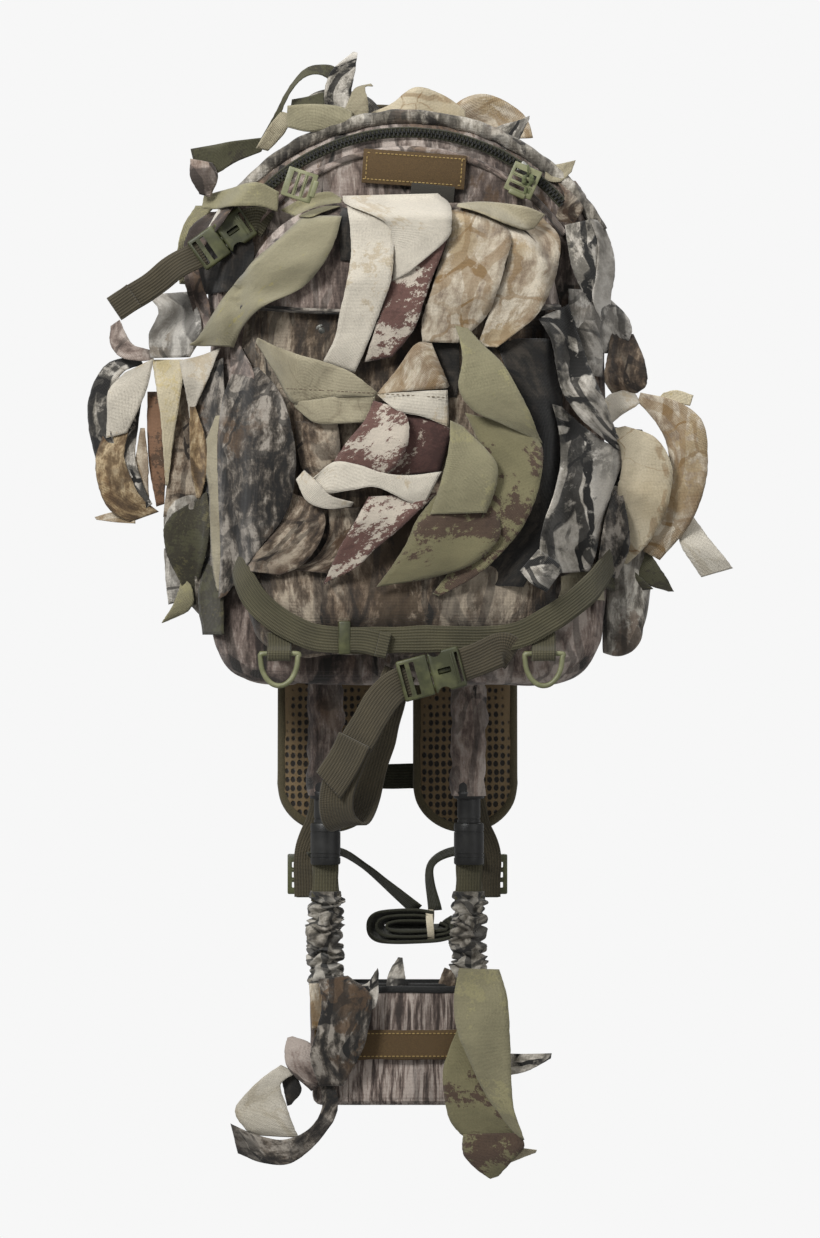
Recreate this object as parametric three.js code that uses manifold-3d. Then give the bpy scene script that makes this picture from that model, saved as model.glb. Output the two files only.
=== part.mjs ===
// A hunter's day pack with an arrow quiver, dressed in sewn-on camouflage strips.
// Millimetres, +Z up, front towards -Y. The origin lies on the rear face of the back panel.
import * as THREE from 'three';
import { mergeVertices } from 'three/addons/utils/BufferGeometryUtils.js';
import Module from 'manifold-3d';

const wasm = await Module();
wasm.setup();

// ---------------------------------------------------------------- driving dimensions
const GAP = 0.3;                  // between pieces that lie on each other
const LAYER_GAP = 1.2;            // between loose layers of cloth

const PANEL_WIDTH = 270;          // padded back panel
const PANEL_THICKNESS = 16;
const PANEL_TOP = 158;
const PANEL_HEIGHT = 363;
const PANEL_CORNER = 40;

const BAG_WIDTH = 300;            // main bag
const BAG_DEPTH = 134;
const SHOULDER_Z = 132;           // where the straight sides meet the arched top
const BAG_SIDE_HEIGHT = 349;      // from the shoulders down
const ARCH_DROP = 82;             // the arch's centre lies this far below the shoulders
const BAG_CORNER = 45;
const BAG_EDGE = 12;
const BAG_OFFSET_X = 8;           // the bag hangs this far beside the poles' middle

const POCKET_MARGIN = 29;         // front pocket, from the bag's sides
const POCKET_DEPTH = 40;
const POCKET_OFFSET_X = -5;
const POCKET_TOP_RISE = 18;       // above the shoulders
const POCKET_BOTTOM_RISE = 22;    // above the bag's bottom
const POCKET_CORNER = 80;
const POCKET_EDGE = 7;
const FLAP_DROP = 82;
const CLOTH = 3;                  // flap, label and webbing thickness

const SIDE_POCKET_BULGE = 35;
const SIDE_POCKET_DEPTH = 86;
const SIDE_POCKET_HEIGHT = 133;
const SIDE_POCKET_RISE = 24;      // above the bag's bottom
const SIDE_POCKET_BACK_Y = -36;

const ZIP_WIDTH = 6;              // arched zip and its slider
const ZIP_HALF_SPAN = 50;         // degrees each side of the crown
const SLIDER_ANGLE = 36;          // degrees, at rest
const SLIDER_LENGTH = 15;
const SLIDER_WIDTH = 11;
const BRIDGE_BAR_Y = -7.4;        // the bar that the pull hangs on, in front of the slider's back
const PIPING_RADIUS = 2;
const LABEL_WIDTH = 76;

const POLE_SPACING = 112;         // quiver poles
const POLE_Y = -44;
const LOWER_TUBE_DIAMETER = 18;
const TUBE_WALL = 2;
const TUBE_PLAY = 0.5;            // radial, between the lower and the upper tube
const SLEEVE_CLOTH = 1.6;
const UPPER_TUBE_SHOWING = 87;    // below the bag's bottom
const LOWER_TUBE_SHOWING = 30;    // below the upper tube
const SLEEVE_TUCK = 20;           // cloth sleeve's length inside the hood
const TUBE_OVERLAP = 150;
const CAP_WALL = 2.4;
const CAP_HEIGHT = 22;
const CAP_WEB_HEIGHT = 21;
const ELASTIC_HEIGHT = 70;
const ELASTIC_DIAMETER = 29;

const HOOD_WALL = 3;              // arrow hood
const HOOD_SIDE_ROOM = 2;
const HOOD_TOP_RISE = 30;         // above the bag's shoulders
const HOOD_BOTTOM_RISE = 2;       // above the bag's bottom

const CUP_BEYOND_POLES = 11;      // arrow cup, on each side of the poles' middles
const CUP_DEPTH = 52;
const CUP_HEIGHT = 94;
const CUP_WALL = 3;
const CUP_BASE = 14;
const CUP_RECESS = 22;
const CUP_LINER_WALL = 4;
const CUP_BAND_HEIGHT = 24;
const CUP_BAND_DROP = 34;

const WEB_WIDTH = 25;             // webbing and its fittings
const NARROW_WEB = 20;
const BUCKLE_LENGTH = 48;
const BUCKLE_THICKNESS = 9;
const BUCKLE_WALL = 2;
const PRONG_LENGTH = 19;
const RING_WIDTH = 32;
const RING_HEIGHT = 28;
const RING_WIRE = 4;
const RING_RISE = 27;             // D-rings, above the bag's bottom
const LEFT_RING_INSET = 30;       // from the front pocket's sides
const RIGHT_RING_INSET = 14;
const RING_ROOM = RING_WIRE * 1.6;

const BELT_X = 26;                // where the belt buckle's halves meet
const BELT_RISE = 12;             // above the bag's bottom
const BELT_TILT = -15;            // degrees
const BELT_TAIL_DROP = 107;       // the hanging loop's height
const STRAP_RISE = 39;            // compression strap, above the bag's bottom
const KEEPER_X = -42;             // strap keeper, from the pocket's middle

const PAD_WIDTH = 80;             // shoulder harness
const PAD_THICKNESS = 12;
const PAD_CENTRE_X = 54;
const PAD_TOP = 190;
const PAD_LENGTH = 521;
const PAD_BOW = 30;
const HARNESS_Y = 6;              // the pads' rear plane
const STERNUM_RISE = 44;          // chest strap, above the pads' tips
const LOCK_DROP = 20;             // ladder locks, below the pads' tips
const LOCK_OUT = 18;              // and outside the pads' middles
const BUNDLE_DROP = 46;           // tied strap ends, below the ladder locks
const BUNDLE_LENGTH = 66;
const BUNDLE_HEIGHT = 20;
const BUNDLE_X = 12;
const YOKE_WIDTH = 190;
const YOKE_HEIGHT = 26;

const LOOP_WIDTH = 70;            // haul loop
const LOOP_RISE = 17;

const STRIP_THICKNESS = 2;        // camouflage strips

// ---------------------------------------------------------------- worked-out places
const ARCH_CENTRE_Z = SHOULDER_Z - ARCH_DROP;
const ARCH_RADIUS = Math.hypot(BAG_WIDTH / 2, ARCH_DROP);
const PANEL_BOTTOM = PANEL_TOP - PANEL_HEIGHT;
const BAG_BOTTOM = SHOULDER_Z - BAG_SIDE_HEIGHT;
const BAG_BACK_Y = -PANEL_THICKNESS - GAP;
const BAG_FRONT_Y = BAG_BACK_Y - BAG_DEPTH;
const POCKET_HALF = BAG_WIDTH / 2 - POCKET_MARGIN;
const POCKET_TOP = SHOULDER_Z + POCKET_TOP_RISE;
const POCKET_BOTTOM = BAG_BOTTOM + POCKET_BOTTOM_RISE;
const POCKET_FRONT_Y = BAG_FRONT_Y - GAP - POCKET_DEPTH;
const ZIP_RADIUS = ARCH_RADIUS - BAG_EDGE - ZIP_WIDTH / 2 - 1;
const SIDE_POCKET_BOTTOM = BAG_BOTTOM + SIDE_POCKET_RISE;
const SLIDER_BACK_Y = BAG_FRONT_Y - 2 * GAP - CLOTH;

const STRIP_Y = POCKET_FRONT_Y - GAP;                              // front strips
const STRAP_Y = STRIP_Y - STRIP_THICKNESS - LAYER_GAP;             // compression strap
const FLAP_STRIP_Y = STRIP_Y - CLOTH - 2 * LAYER_GAP;              // strips on the flap
const BUCKLE_Y = STRAP_Y - CLOTH - 2 * LAYER_GAP;                  // belt buckle
const SIDE_STRIP_Y = -130;
const SHOULDER_STRIP_Y = BAG_FRONT_Y - 14;

const UPPER_TUBE_BOTTOM = BAG_BOTTOM - UPPER_TUBE_SHOWING;
const LOWER_TUBE_BOTTOM = UPPER_TUBE_BOTTOM - LOWER_TUBE_SHOWING;
const LOWER_TUBE_RADIUS = LOWER_TUBE_DIAMETER / 2;
const UPPER_TUBE_BORE = LOWER_TUBE_RADIUS + TUBE_PLAY;
const UPPER_TUBE_RADIUS = UPPER_TUBE_BORE + TUBE_WALL;
const SLEEVE_RADIUS = UPPER_TUBE_RADIUS + GAP + SLEEVE_CLOTH;
const CAP_RADIUS = LOWER_TUBE_RADIUS + GAP + CAP_WALL;
const CAP_BOTTOM = LOWER_TUBE_BOTTOM - CAP_HEIGHT;
const CAP_WEB_BOTTOM = CAP_BOTTOM - GAP - CAP_WEB_HEIGHT;
const ELASTIC_BOTTOM = CAP_WEB_BOTTOM - GAP - ELASTIC_HEIGHT;
const CUP_TOP = ELASTIC_BOTTOM - GAP;
const POLE_X = POLE_SPACING / 2;
const CUP_WIDTH = POLE_SPACING + 2 * CUP_BEYOND_POLES;

const HOOD_HALF = POLE_X + SLEEVE_RADIUS + HOOD_SIDE_ROOM + HOOD_WALL;
const HOOD_BACK_Y = BAG_BACK_Y - GAP;
const HOOD_FRONT_Y = 2 * POLE_Y - HOOD_BACK_Y;
const HOOD_TOP = SHOULDER_Z + HOOD_TOP_RISE;
const HOOD_BOTTOM = BAG_BOTTOM + HOOD_BOTTOM_RISE;

const PAD_BOTTOM = PAD_TOP - PAD_LENGTH;
const PAD_TIP_Y = PAD_BOW * 0.5;
const LOCK_TOP = PAD_BOTTOM - LOCK_DROP;
const LOCK_X = PAD_CENTRE_X + LOCK_OUT;
const BUNDLE_TOP = LOCK_TOP - BUNDLE_DROP;
const STERNUM_Z = PAD_BOTTOM + STERNUM_RISE;

const BELT_Z = BAG_BOTTOM + BELT_RISE;
const STRAP_RUN_Z = BAG_BOTTOM + STRAP_RISE;
const RING_BAR_Z = BAG_BOTTOM + RING_RISE;
const RING_Y = POCKET_FRONT_Y - GAP - CLOTH - RING_ROOM / 2;

// ---------------------------------------------------------------- geometry helpers
const radians = THREE.MathUtils.degToRad;

function solid(geometry) {
  const bare = geometry.clone();
  bare.deleteAttribute('normal');
  bare.deleteAttribute('uv');
  const merged = mergeVertices(bare, 1e-4);
  return new wasm.Manifold(new wasm.Mesh({
    numProp: 3,
    vertProperties: new Float32Array(merged.attributes.position.array),
    triVerts: new Uint32Array(merged.index.array),
  }));
}

function geometryOf(manifold) {
  const mesh = manifold.getMesh();
  const geometry = new THREE.BufferGeometry();
  geometry.setAttribute('position', new THREE.BufferAttribute(mesh.vertProperties, 3));
  geometry.setIndex(new THREE.BufferAttribute(mesh.triVerts, 1));
  return geometry;
}

function joined(first, ...others) {
  return geometryOf(others.reduce((whole, next) => whole.add(solid(next)), solid(first)));
}

function cut(body, ...tools) {
  return geometryOf(tools.reduce((rest, tool) => rest.subtract(solid(tool)), solid(body)));
}

function common(first, second) {
  return geometryOf(solid(first).intersect(solid(second)));
}

// A box between two corners.
function block(x0, x1, y0, y1, z0, z1) {
  const geometry = new THREE.BoxGeometry(Math.abs(x1 - x0), Math.abs(y1 - y0), Math.abs(z1 - z0));
  return geometry.translate((x0 + x1) / 2, (y0 + y1) / 2, (z0 + z1) / 2);
}

// An outline in X and Z, from backY forwards (towards -Y) by depth, with softened edges.
function plate(shape, backY, depth, edge = 0, curveSegments = 6) {
  const geometry = new THREE.ExtrudeGeometry(shape, {
    depth: depth - 2 * edge,
    bevelEnabled: edge > 0,
    bevelSize: edge,
    bevelOffset: -edge,
    bevelThickness: edge,
    bevelSegments: 1,
    curveSegments,
  });
  return geometry.translate(0, 0, edge).rotateX(Math.PI / 2).translate(0, backY, 0);
}

function roundedOutline(x0, x1, z0, z1, bottomRadius, topRadius = bottomRadius) {
  const shape = new THREE.Shape();
  shape.absarc(x1 - bottomRadius, z0 + bottomRadius, bottomRadius, -Math.PI / 2, 0);
  shape.absarc(x1 - topRadius, z1 - topRadius, topRadius, 0, Math.PI / 2);
  shape.absarc(x0 + topRadius, z1 - topRadius, topRadius, Math.PI / 2, Math.PI);
  shape.absarc(x0 + bottomRadius, z0 + bottomRadius, bottomRadius, Math.PI, 1.5 * Math.PI);
  return shape;
}

// A band of even width along a line of [x, z] points, smoothed where asked.
function bandOutline(points, width, smoothSteps = 0) {
  const line = points.map(([x, z]) => new THREE.Vector2(x, z));
  const curve = smoothSteps ? new THREE.SplineCurve(line).getPoints(smoothSteps) : line;
  const sides = [[], []];
  curve.forEach((point, i) => {
    const before = curve[Math.max(i - 1, 0)];
    const after = curve[Math.min(i + 1, curve.length - 1)];
    const into = point.clone().sub(before);
    const out = after.clone().sub(point);
    if (i === 0) into.copy(out);
    if (i === curve.length - 1) out.copy(into);
    const along = into.normalize().add(out.normalize()).normalize();
    const reach = width / 2 / along.dot(out);
    sides[0].push(new THREE.Vector2(point.x - along.y * reach, point.y + along.x * reach));
    sides[1].unshift(new THREE.Vector2(point.x + along.y * reach, point.y - along.x * reach));
  });
  return new THREE.Shape([...sides[1].reverse(), ...sides[0].reverse()]);
}

// A sector of a flat ring, angles in degrees from straight up, positive towards +X.
function archOutline(centreZ, inner, outer, from, to) {
  const start = Math.PI / 2 - radians(to);
  const end = Math.PI / 2 - radians(from);
  const shape = new THREE.Shape();
  shape.absarc(0, centreZ, outer, start, end, false);
  shape.absarc(0, centreZ, inner, end, start, true);
  return shape;
}

// A turned piece about the vertical axis from a closed [radius, z] profile.
function turned(profile, segments = 20) {
  const points = [...profile, profile[0]].map(([radius, z]) => new THREE.Vector2(radius, z));
  return new THREE.LatheGeometry(points, segments).rotateX(Math.PI / 2);
}

function ring(outer, inner, bottom, top, segments = 20) {
  return turned([[inner, bottom], [outer, bottom], [outer, top], [inner, top]], segments);
}

// One pointed strip of cloth that hangs from (x, z); lean in degrees turns it towards -X.
function strip([x, z, length, width, lean], backY) {
  const root = 0.3 * width;
  const belly = 0.75 * width;
  const shape = new THREE.Shape();
  shape.moveTo(-root, 0);
  shape.quadraticCurveTo(-belly, -0.5 * length, 0.1 * width, -length);
  shape.quadraticCurveTo(belly, -0.45 * length, root, 0);
  return plate(shape, 0, STRIP_THICKNESS, 0, 4).rotateY(radians(lean)).translate(x, backY, z);
}

// Strips sewn side by side on one tape.
function stripRow(backY, tapeShape, strips) {
  const tape = plate(tapeShape, backY, STRIP_THICKNESS, 0, 10);
  return joined(tape, ...strips.map((values) => strip(values, backY)));
}

const FINISHES = {
  camo: [0x8f8377, 0.9, 0],
  darkCamo: [0x6e6258, 0.9, 0],
  mesh: [0x6b5c43, 0.9, 0],
  olive: [0x4e4a34, 0.85, 0],
  plastic: [0x4b4f33, 0.55, 0],
  black: [0x2a2a28, 0.5, 0],
  metal: [0x8c8c86, 0.35, 0.9],
  foam: [0x242424, 0.95, 0],
  brown: [0x5b4a32, 0.85, 0],
  cream: [0xcfc4ab, 0.9, 0],
};

const model = new THREE.Group();
const bag = new THREE.Group();
bag.position.x = BAG_OFFSET_X;
model.add(bag);

function add(parent, name, geometry, finish) {
  const [color, roughness, metalness] = FINISHES[finish];
  const mesh = new THREE.Mesh(geometry, new THREE.MeshStandardMaterial({ color, roughness, metalness }));
  mesh.name = name;
  parent.add(mesh);
  return mesh;
}

function groupAt(parent, x, y, z, turn = 0) {
  const group = new THREE.Group();
  group.position.set(x, y, z);
  group.rotation.y = radians(turn);
  parent.add(group);
  return group;
}

// ---------------------------------------------------------------- bag and pockets
function bagOutline(grow = 0) {
  const corner = BAG_WIDTH / 2 - BAG_CORNER;
  const rise = Math.asin(ARCH_DROP / ARCH_RADIUS);
  const shape = new THREE.Shape();
  shape.absarc(corner, BAG_BOTTOM + BAG_CORNER, BAG_CORNER + grow, -Math.PI / 2, 0);
  shape.absarc(0, ARCH_CENTRE_Z, ARCH_RADIUS + grow, rise, Math.PI - rise);
  shape.absarc(-corner, BAG_BOTTOM + BAG_CORNER, BAG_CORNER + grow, Math.PI, 1.5 * Math.PI);
  return shape;
}

// Strips sewn along the bag's edge, kept just outside it.
function edgeStrips(backY, tapeShape, strips) {
  const row = stripRow(backY, tapeShape, strips);
  return cut(row, plate(bagOutline(1), backY + 5, STRIP_THICKNESS + 10, 0, 12));
}

function mainBag() {
  const whole = plate(bagOutline(), BAG_BACK_Y, BAG_DEPTH, BAG_EDGE, 10);
  const channel = block(
    -BAG_OFFSET_X - HOOD_HALF - GAP, -BAG_OFFSET_X + HOOD_HALF + GAP,
    BAG_BACK_Y + 1, HOOD_FRONT_Y - GAP, BAG_BOTTOM - 1, HOOD_TOP + GAP,
  );
  return cut(whole, channel);
}

function arrowHood() {
  const shell = block(-HOOD_HALF, HOOD_HALF, HOOD_FRONT_Y, HOOD_BACK_Y, HOOD_BOTTOM, HOOD_TOP);
  const room = block(
    -HOOD_HALF + HOOD_WALL, HOOD_HALF - HOOD_WALL,
    HOOD_FRONT_Y + HOOD_WALL, HOOD_BACK_Y - HOOD_WALL, HOOD_BOTTOM - 1, HOOD_TOP - HOOD_WALL,
  );
  return cut(shell, room);
}

function pocketOutline() {
  return roundedOutline(
    POCKET_OFFSET_X - POCKET_HALF, POCKET_OFFSET_X + POCKET_HALF,
    POCKET_BOTTOM, POCKET_TOP, BAG_CORNER, POCKET_CORNER,
  );
}

function sidePocket(side) {
  const wall = (side * BAG_WIDTH) / 2 + side * GAP;
  const half = SIDE_POCKET_HEIGHT / 2;
  const outer = roundedOutline(-half, half, 0, SIDE_POCKET_BULGE, 1, 26);
  const pocket = plate(outer, 0, SIDE_POCKET_DEPTH, 0, 6).rotateY((side * Math.PI) / 2);
  return pocket.translate(wall, SIDE_POCKET_BACK_Y, SIDE_POCKET_BOTTOM + half);
}

function labelOutline() {
  const centre = POCKET_OFFSET_X + 9;
  const reach = Math.abs(centre) + LABEL_WIDTH / 2;
  const clear = ZIP_RADIUS - SLIDER_WIDTH / 2 - 3;
  const top = ARCH_CENTRE_Z + Math.sqrt(clear ** 2 - reach ** 2);
  return roundedOutline(centre - LABEL_WIDTH / 2, centre + LABEL_WIDTH / 2, POCKET_TOP + 3, top, 3);
}

add(model, 'back_panel', plate(
  roundedOutline(-PANEL_WIDTH / 2, PANEL_WIDTH / 2, PANEL_BOTTOM, PANEL_TOP, PANEL_CORNER),
  0, PANEL_THICKNESS), 'darkCamo');
add(bag, 'main_bag', mainBag(), 'camo');
add(model, 'arrow_hood', arrowHood(), 'darkCamo');
add(bag, 'front_pocket', plate(pocketOutline(), BAG_FRONT_Y - GAP, POCKET_DEPTH, POCKET_EDGE, 8), 'camo');
add(bag, 'left_side_pocket', sidePocket(-1), 'camo');
add(bag, 'right_side_pocket', sidePocket(1), 'camo');
add(bag, 'front_label', plate(labelOutline(), BAG_FRONT_Y - GAP, 1.5, 0, 3), 'brown');

// ---------------------------------------------------------------- arched zip and piping
add(bag, 'main_zip_chain', plate(
  archOutline(ARCH_CENTRE_Z, ZIP_RADIUS - ZIP_WIDTH / 2, ZIP_RADIUS + ZIP_WIDTH / 2,
    -ZIP_HALF_SPAN, ZIP_HALF_SPAN), BAG_FRONT_Y - GAP, CLOTH, 0, 20), 'black');

function topPiping() {
  const radius = ARCH_RADIUS + PIPING_RADIUS + 2 * GAP;
  const steps = 18;
  const span = Math.acos(ARCH_DROP / ARCH_RADIUS);
  const points = Array.from({ length: steps + 1 }, (_, i) => {
    const angle = span * ((2 * i) / steps - 1);
    return new THREE.Vector3(radius * Math.sin(angle), 0, ARCH_CENTRE_Z + radius * Math.cos(angle));
  });
  const section = new THREE.Shape().absarc(0, 0, PIPING_RADIUS, 0, 2 * Math.PI);
  return new THREE.ExtrudeGeometry(section, {
    steps, curveSegments: 3, bevelEnabled: false, extrudePath: new THREE.CatmullRomCurve3(points),
  }).translate(0, BAG_FRONT_Y + BAG_EDGE, 0);
}

function zipSlider() {
  const body = block(-SLIDER_LENGTH / 2, SLIDER_LENGTH / 2, -2.4, 0, -SLIDER_WIDTH / 2, SLIDER_WIDTH / 2);
  const bridge = cut(block(-6.5, 6.5, BRIDGE_BAR_Y - 1, -1, -1.5, 1.5),
    block(-4.5, 4.5, BRIDGE_BAR_Y + 1, -2.4, -3, 3));
  return joined(body, bridge);
}

function zipPull() {
  const loop = ring(4.6, 3.4, -0.6, 0.6, 10);
  const knot = new THREE.SphereGeometry(4.5, 8, 6);
  const tail = new THREE.CylinderGeometry(2, 2.6, 16, 8).rotateX(Math.PI / 2);
  return joined(knot.translate(0, 0, -8.2), tail.translate(0, 0, -16), loop.rotateY(Math.PI / 2));
}

add(bag, 'top_piping', topPiping(), 'camo');
const sliderSpot = groupAt(bag, ZIP_RADIUS * Math.sin(radians(SLIDER_ANGLE)), SLIDER_BACK_Y,
  ARCH_CENTRE_Z + ZIP_RADIUS * Math.cos(radians(SLIDER_ANGLE)));
add(sliderSpot, 'zip_slider', zipSlider(), 'metal').rotation.y = radians(SLIDER_ANGLE);
const pullSpot = groupAt(sliderSpot, 0, BRIDGE_BAR_Y, 0);
add(pullSpot, 'zip_pull', zipPull(), 'olive');

// ---------------------------------------------------------------- haul loop
function haulLoop() {
  const half = LOOP_WIDTH / 2;
  const arch = (x) => ARCH_CENTRE_Z + Math.sqrt(ARCH_RADIUS ** 2 - (x - BAG_OFFSET_X) ** 2);
  const footZ = Math.min(arch(-half - CLOTH), arch(half + CLOTH)) - 6;
  const crown = ARCH_CENTRE_Z + ARCH_RADIUS + LOOP_RISE;
  const outer = plate(roundedOutline(-half, half, footZ, crown, 1, 12), -20, NARROW_WEB, 0, 4);
  const inner = plate(roundedOutline(-half + CLOTH, half - CLOTH, footZ - 9, crown - CLOTH, 1, 9),
    -19, NARROW_WEB + 2, 0, 4);
  const seat = plate(bagOutline(1), -10, 2 * NARROW_WEB, 0, 12).translate(BAG_OFFSET_X, 0, 0);
  return cut(outer, inner, seat);
}
add(model, 'haul_loop', haulLoop(), 'olive');

// ---------------------------------------------------------------- front flap
function pocketFlap() {
  const whole = plate(pocketOutline(), STRIP_Y, CLOTH, 0, 8);
  const window = block(-BAG_WIDTH, BAG_WIDTH, STRIP_Y + 1, STRIP_Y - CLOTH - 1,
    POCKET_TOP - FLAP_DROP, POCKET_TOP - 1);
  return common(whole, window);
}

add(bag, 'pocket_flap', pocketFlap(), 'camo');
add(bag, 'snap_stud', ring(5, 1, 0, 3, 14).rotateX(Math.PI / 2)
  .translate(POCKET_OFFSET_X - 59, STRIP_Y, POCKET_TOP - FLAP_DROP - 16), 'metal');

// ---------------------------------------------------------------- quiver poles
function tubeSleeve() {
  return ring(SLEEVE_RADIUS, UPPER_TUBE_RADIUS + GAP, UPPER_TUBE_BOTTOM + 2,
    BAG_BOTTOM + SLEEVE_TUCK, 18);
}

function tubeCap() {
  const inside = LOWER_TUBE_RADIUS + GAP;
  const top = LOWER_TUBE_BOTTOM + CAP_HEIGHT / 2;
  return turned([
    [0, CAP_BOTTOM], [CAP_RADIUS, CAP_BOTTOM], [CAP_RADIUS, top - 2], [CAP_RADIUS - 1, top],
    [inside, top], [inside, LOWER_TUBE_BOTTOM - GAP], [0, LOWER_TUBE_BOTTOM - GAP],
  ]);
}

function elasticSleeve() {
  const folds = 4;
  const outer = ELASTIC_DIAMETER / 2;
  const profile = [[outer - 7, CAP_WEB_BOTTOM - GAP], [outer - 7, ELASTIC_BOTTOM]];
  for (let i = 0; i <= 2 * folds; i += 1) {
    profile.push([i % 2 ? outer : outer - 3, ELASTIC_BOTTOM + (ELASTIC_HEIGHT * i) / (2 * folds)]);
  }
  return turned(profile, 12);
}

for (const [side, name] of [[-1, 'left'], [1, 'right']]) {
  const pole = groupAt(model, side * POLE_X, POLE_Y, 0);
  add(pole, `${name}_upper_tube`,
    ring(UPPER_TUBE_RADIUS, UPPER_TUBE_BORE, UPPER_TUBE_BOTTOM, HOOD_TOP - HOOD_WALL - 2), 'black');
  add(pole, `${name}_tube_sleeve`, tubeSleeve(), 'camo');
  add(pole, `${name}_lower_tube`, ring(LOWER_TUBE_RADIUS, LOWER_TUBE_RADIUS - TUBE_WALL,
    LOWER_TUBE_BOTTOM, UPPER_TUBE_BOTTOM + TUBE_OVERLAP), 'black');
  add(pole, `${name}_tube_cap`, tubeCap(), 'black');
  add(pole, `${name}_cap_webbing`, block(-NARROW_WEB / 2, NARROW_WEB / 2, -CLOTH, CLOTH,
    CAP_WEB_BOTTOM, CAP_BOTTOM - GAP), 'olive');
  add(pole, `${name}_elastic_sleeve`, elasticSleeve(), 'camo');
}

// ---------------------------------------------------------------- arrow cup
const cup = groupAt(model, 0, POLE_Y, CUP_TOP);

function cupCover() {
  const half = CUP_WIDTH / 2;
  const shell = plate(roundedOutline(-half, half, -CUP_HEIGHT, 0, CUP_BASE, 4), CUP_DEPTH / 2, CUP_DEPTH, 1, 5);
  const room = block(-half + CUP_WALL, half - CUP_WALL, -CUP_DEPTH / 2 + CUP_WALL,
    CUP_DEPTH / 2 - CUP_WALL, -CUP_HEIGHT + CUP_BASE, 1);
  return cut(shell, room);
}

function cupFoam() {
  const half = CUP_WIDTH / 2 - CUP_WALL - CUP_LINER_WALL - 2 * GAP;
  const deep = CUP_DEPTH / 2 - CUP_WALL - CUP_LINER_WALL - 2 * GAP;
  return block(-half, half, -deep, deep, -CUP_HEIGHT + CUP_BASE + GAP, -CUP_RECESS);
}

function cupLiner() {
  const half = CUP_WIDTH / 2 - CUP_WALL - GAP;
  const deep = CUP_DEPTH / 2 - CUP_WALL - GAP;
  return cut(
    block(-half, half, -deep, deep, -CUP_HEIGHT + CUP_BASE + GAP, 0),
    block(-half + CUP_LINER_WALL, half - CUP_LINER_WALL, -deep + CUP_LINER_WALL,
      deep - CUP_LINER_WALL, -CUP_HEIGHT, 1),
  );
}

add(cup, 'cup_cover', cupCover(), 'darkCamo');
add(cup, 'cup_liner', cupLiner(), 'foam');
add(cup, 'cup_foam', cupFoam(), 'foam');
add(cup, 'cup_band', plate(roundedOutline(-CUP_WIDTH / 2 + 3, CUP_WIDTH / 2 - 3,
  -CUP_BAND_DROP - CUP_BAND_HEIGHT, -CUP_BAND_DROP, 1), -CUP_DEPTH / 2 - GAP, 1.2, 0, 2), 'brown');

// ---------------------------------------------------------------- side-release buckles
// Local X runs from the plug (left) to the socket (right); the joint line is at x = 0.
function buckleSocket(width) {
  const half = width / 2 + BUCKLE_WALL + 1;
  const thick = BUCKLE_THICKNESS / 2;
  const length = BUCKLE_LENGTH / 2;
  const shell = plate(roundedOutline(0, length, -half, half, 4), thick, 2 * thick, 0, 2);
  const mouth = block(-1, PRONG_LENGTH + 1, -thick + BUCKLE_WALL, thick - BUCKLE_WALL,
    -half + BUCKLE_WALL + 1, half - BUCKLE_WALL - 1);
  return cut(shell, mouth);
}

function bucklePlug(width) {
  const half = width / 2 + BUCKLE_WALL + 1;
  const thick = BUCKLE_THICKNESS / 2 - BUCKLE_WALL - 0.4;
  const length = BUCKLE_LENGTH / 2;
  const prongZ = half - BUCKLE_WALL - 4;
  const base = plate(roundedOutline(-length, -0.6, -half, half, 3), thick + 1.4, 2 * thick + 2.8, 0, 2);
  const slot = block(-length + 3, -length + 8, -9, 9, -width / 2, width / 2);
  const prongs = [-prongZ, 0, prongZ].map(
    (z) => block(-4, PRONG_LENGTH, -thick, thick, z - 1.8, z + 1.8));
  return joined(cut(base, slot), ...prongs);
}

// ---------------------------------------------------------------- belt and compression strap
const belt = groupAt(model, BELT_X, BUCKLE_Y - BUCKLE_THICKNESS / 2, BELT_Z, BELT_TILT);
add(belt, 'belt_buckle_socket', buckleSocket(WEB_WIDTH), 'plastic');
add(belt, 'belt_buckle_plug', bucklePlug(WEB_WIDTH), 'plastic');

function beltAnchor() {
  const start = BUCKLE_LENGTH / 2 + GAP;
  const strap = block(start, start + 36, -CLOTH / 2, CLOTH / 2, -WEB_WIDTH / 2, WEB_WIDTH / 2);
  const foot = block(start + 30, start + 36, -CLOTH / 2,
    POCKET_FRONT_Y - GAP - belt.position.y, -WEB_WIDTH / 2, -2);
  return joined(strap, foot);
}
add(belt, 'belt_anchor_strap', beltAnchor(), 'olive');

// The free end of the belt: a loop that hangs from the plug and comes back up behind itself.
// Its front run leans to the left, and its rear run leans less the further back it lies.
function beltTail() {
  const low = -BELT_TAIL_DROP;
  const frontY = -7;
  const rearY = 16;
  const frontLean = 0.5;
  const rearLean = 0.2;
  const profile = bandOutline([[0, 0], [frontY, -16], [frontY - 3, 0.6 * low], [frontY + 3, 0.9 * low],
    [(frontY + rearY) / 2, low], [rearY - 2, 0.88 * low], [rearY, 0.5 * low], [rearY, -4]], CLOTH, 20);
  const loop = plate(profile, WEB_WIDTH / 2, WEB_WIDTH).rotateZ(Math.PI / 2);
  const place = loop.attributes.position;
  for (let i = 0; i < place.count; i += 1) {
    const back = THREE.MathUtils.clamp((place.getY(i) - frontY) / (rearY - frontY), 0, 1);
    const lean = frontLean + (rearLean - frontLean) * back;
    place.setX(i, place.getX(i) + lean * place.getZ(i));
  }
  return loop;
}
const tailSpot = new THREE.Vector3(-BUCKLE_LENGTH / 2 - WEB_WIDTH / 2 - 1.5, 0, -3).applyEuler(belt.rotation)
  .add(belt.position);
const tail = groupAt(model, tailSpot.x, tailSpot.y, tailSpot.z);
add(tail, 'belt_tail', beltTail(), 'olive');

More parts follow.
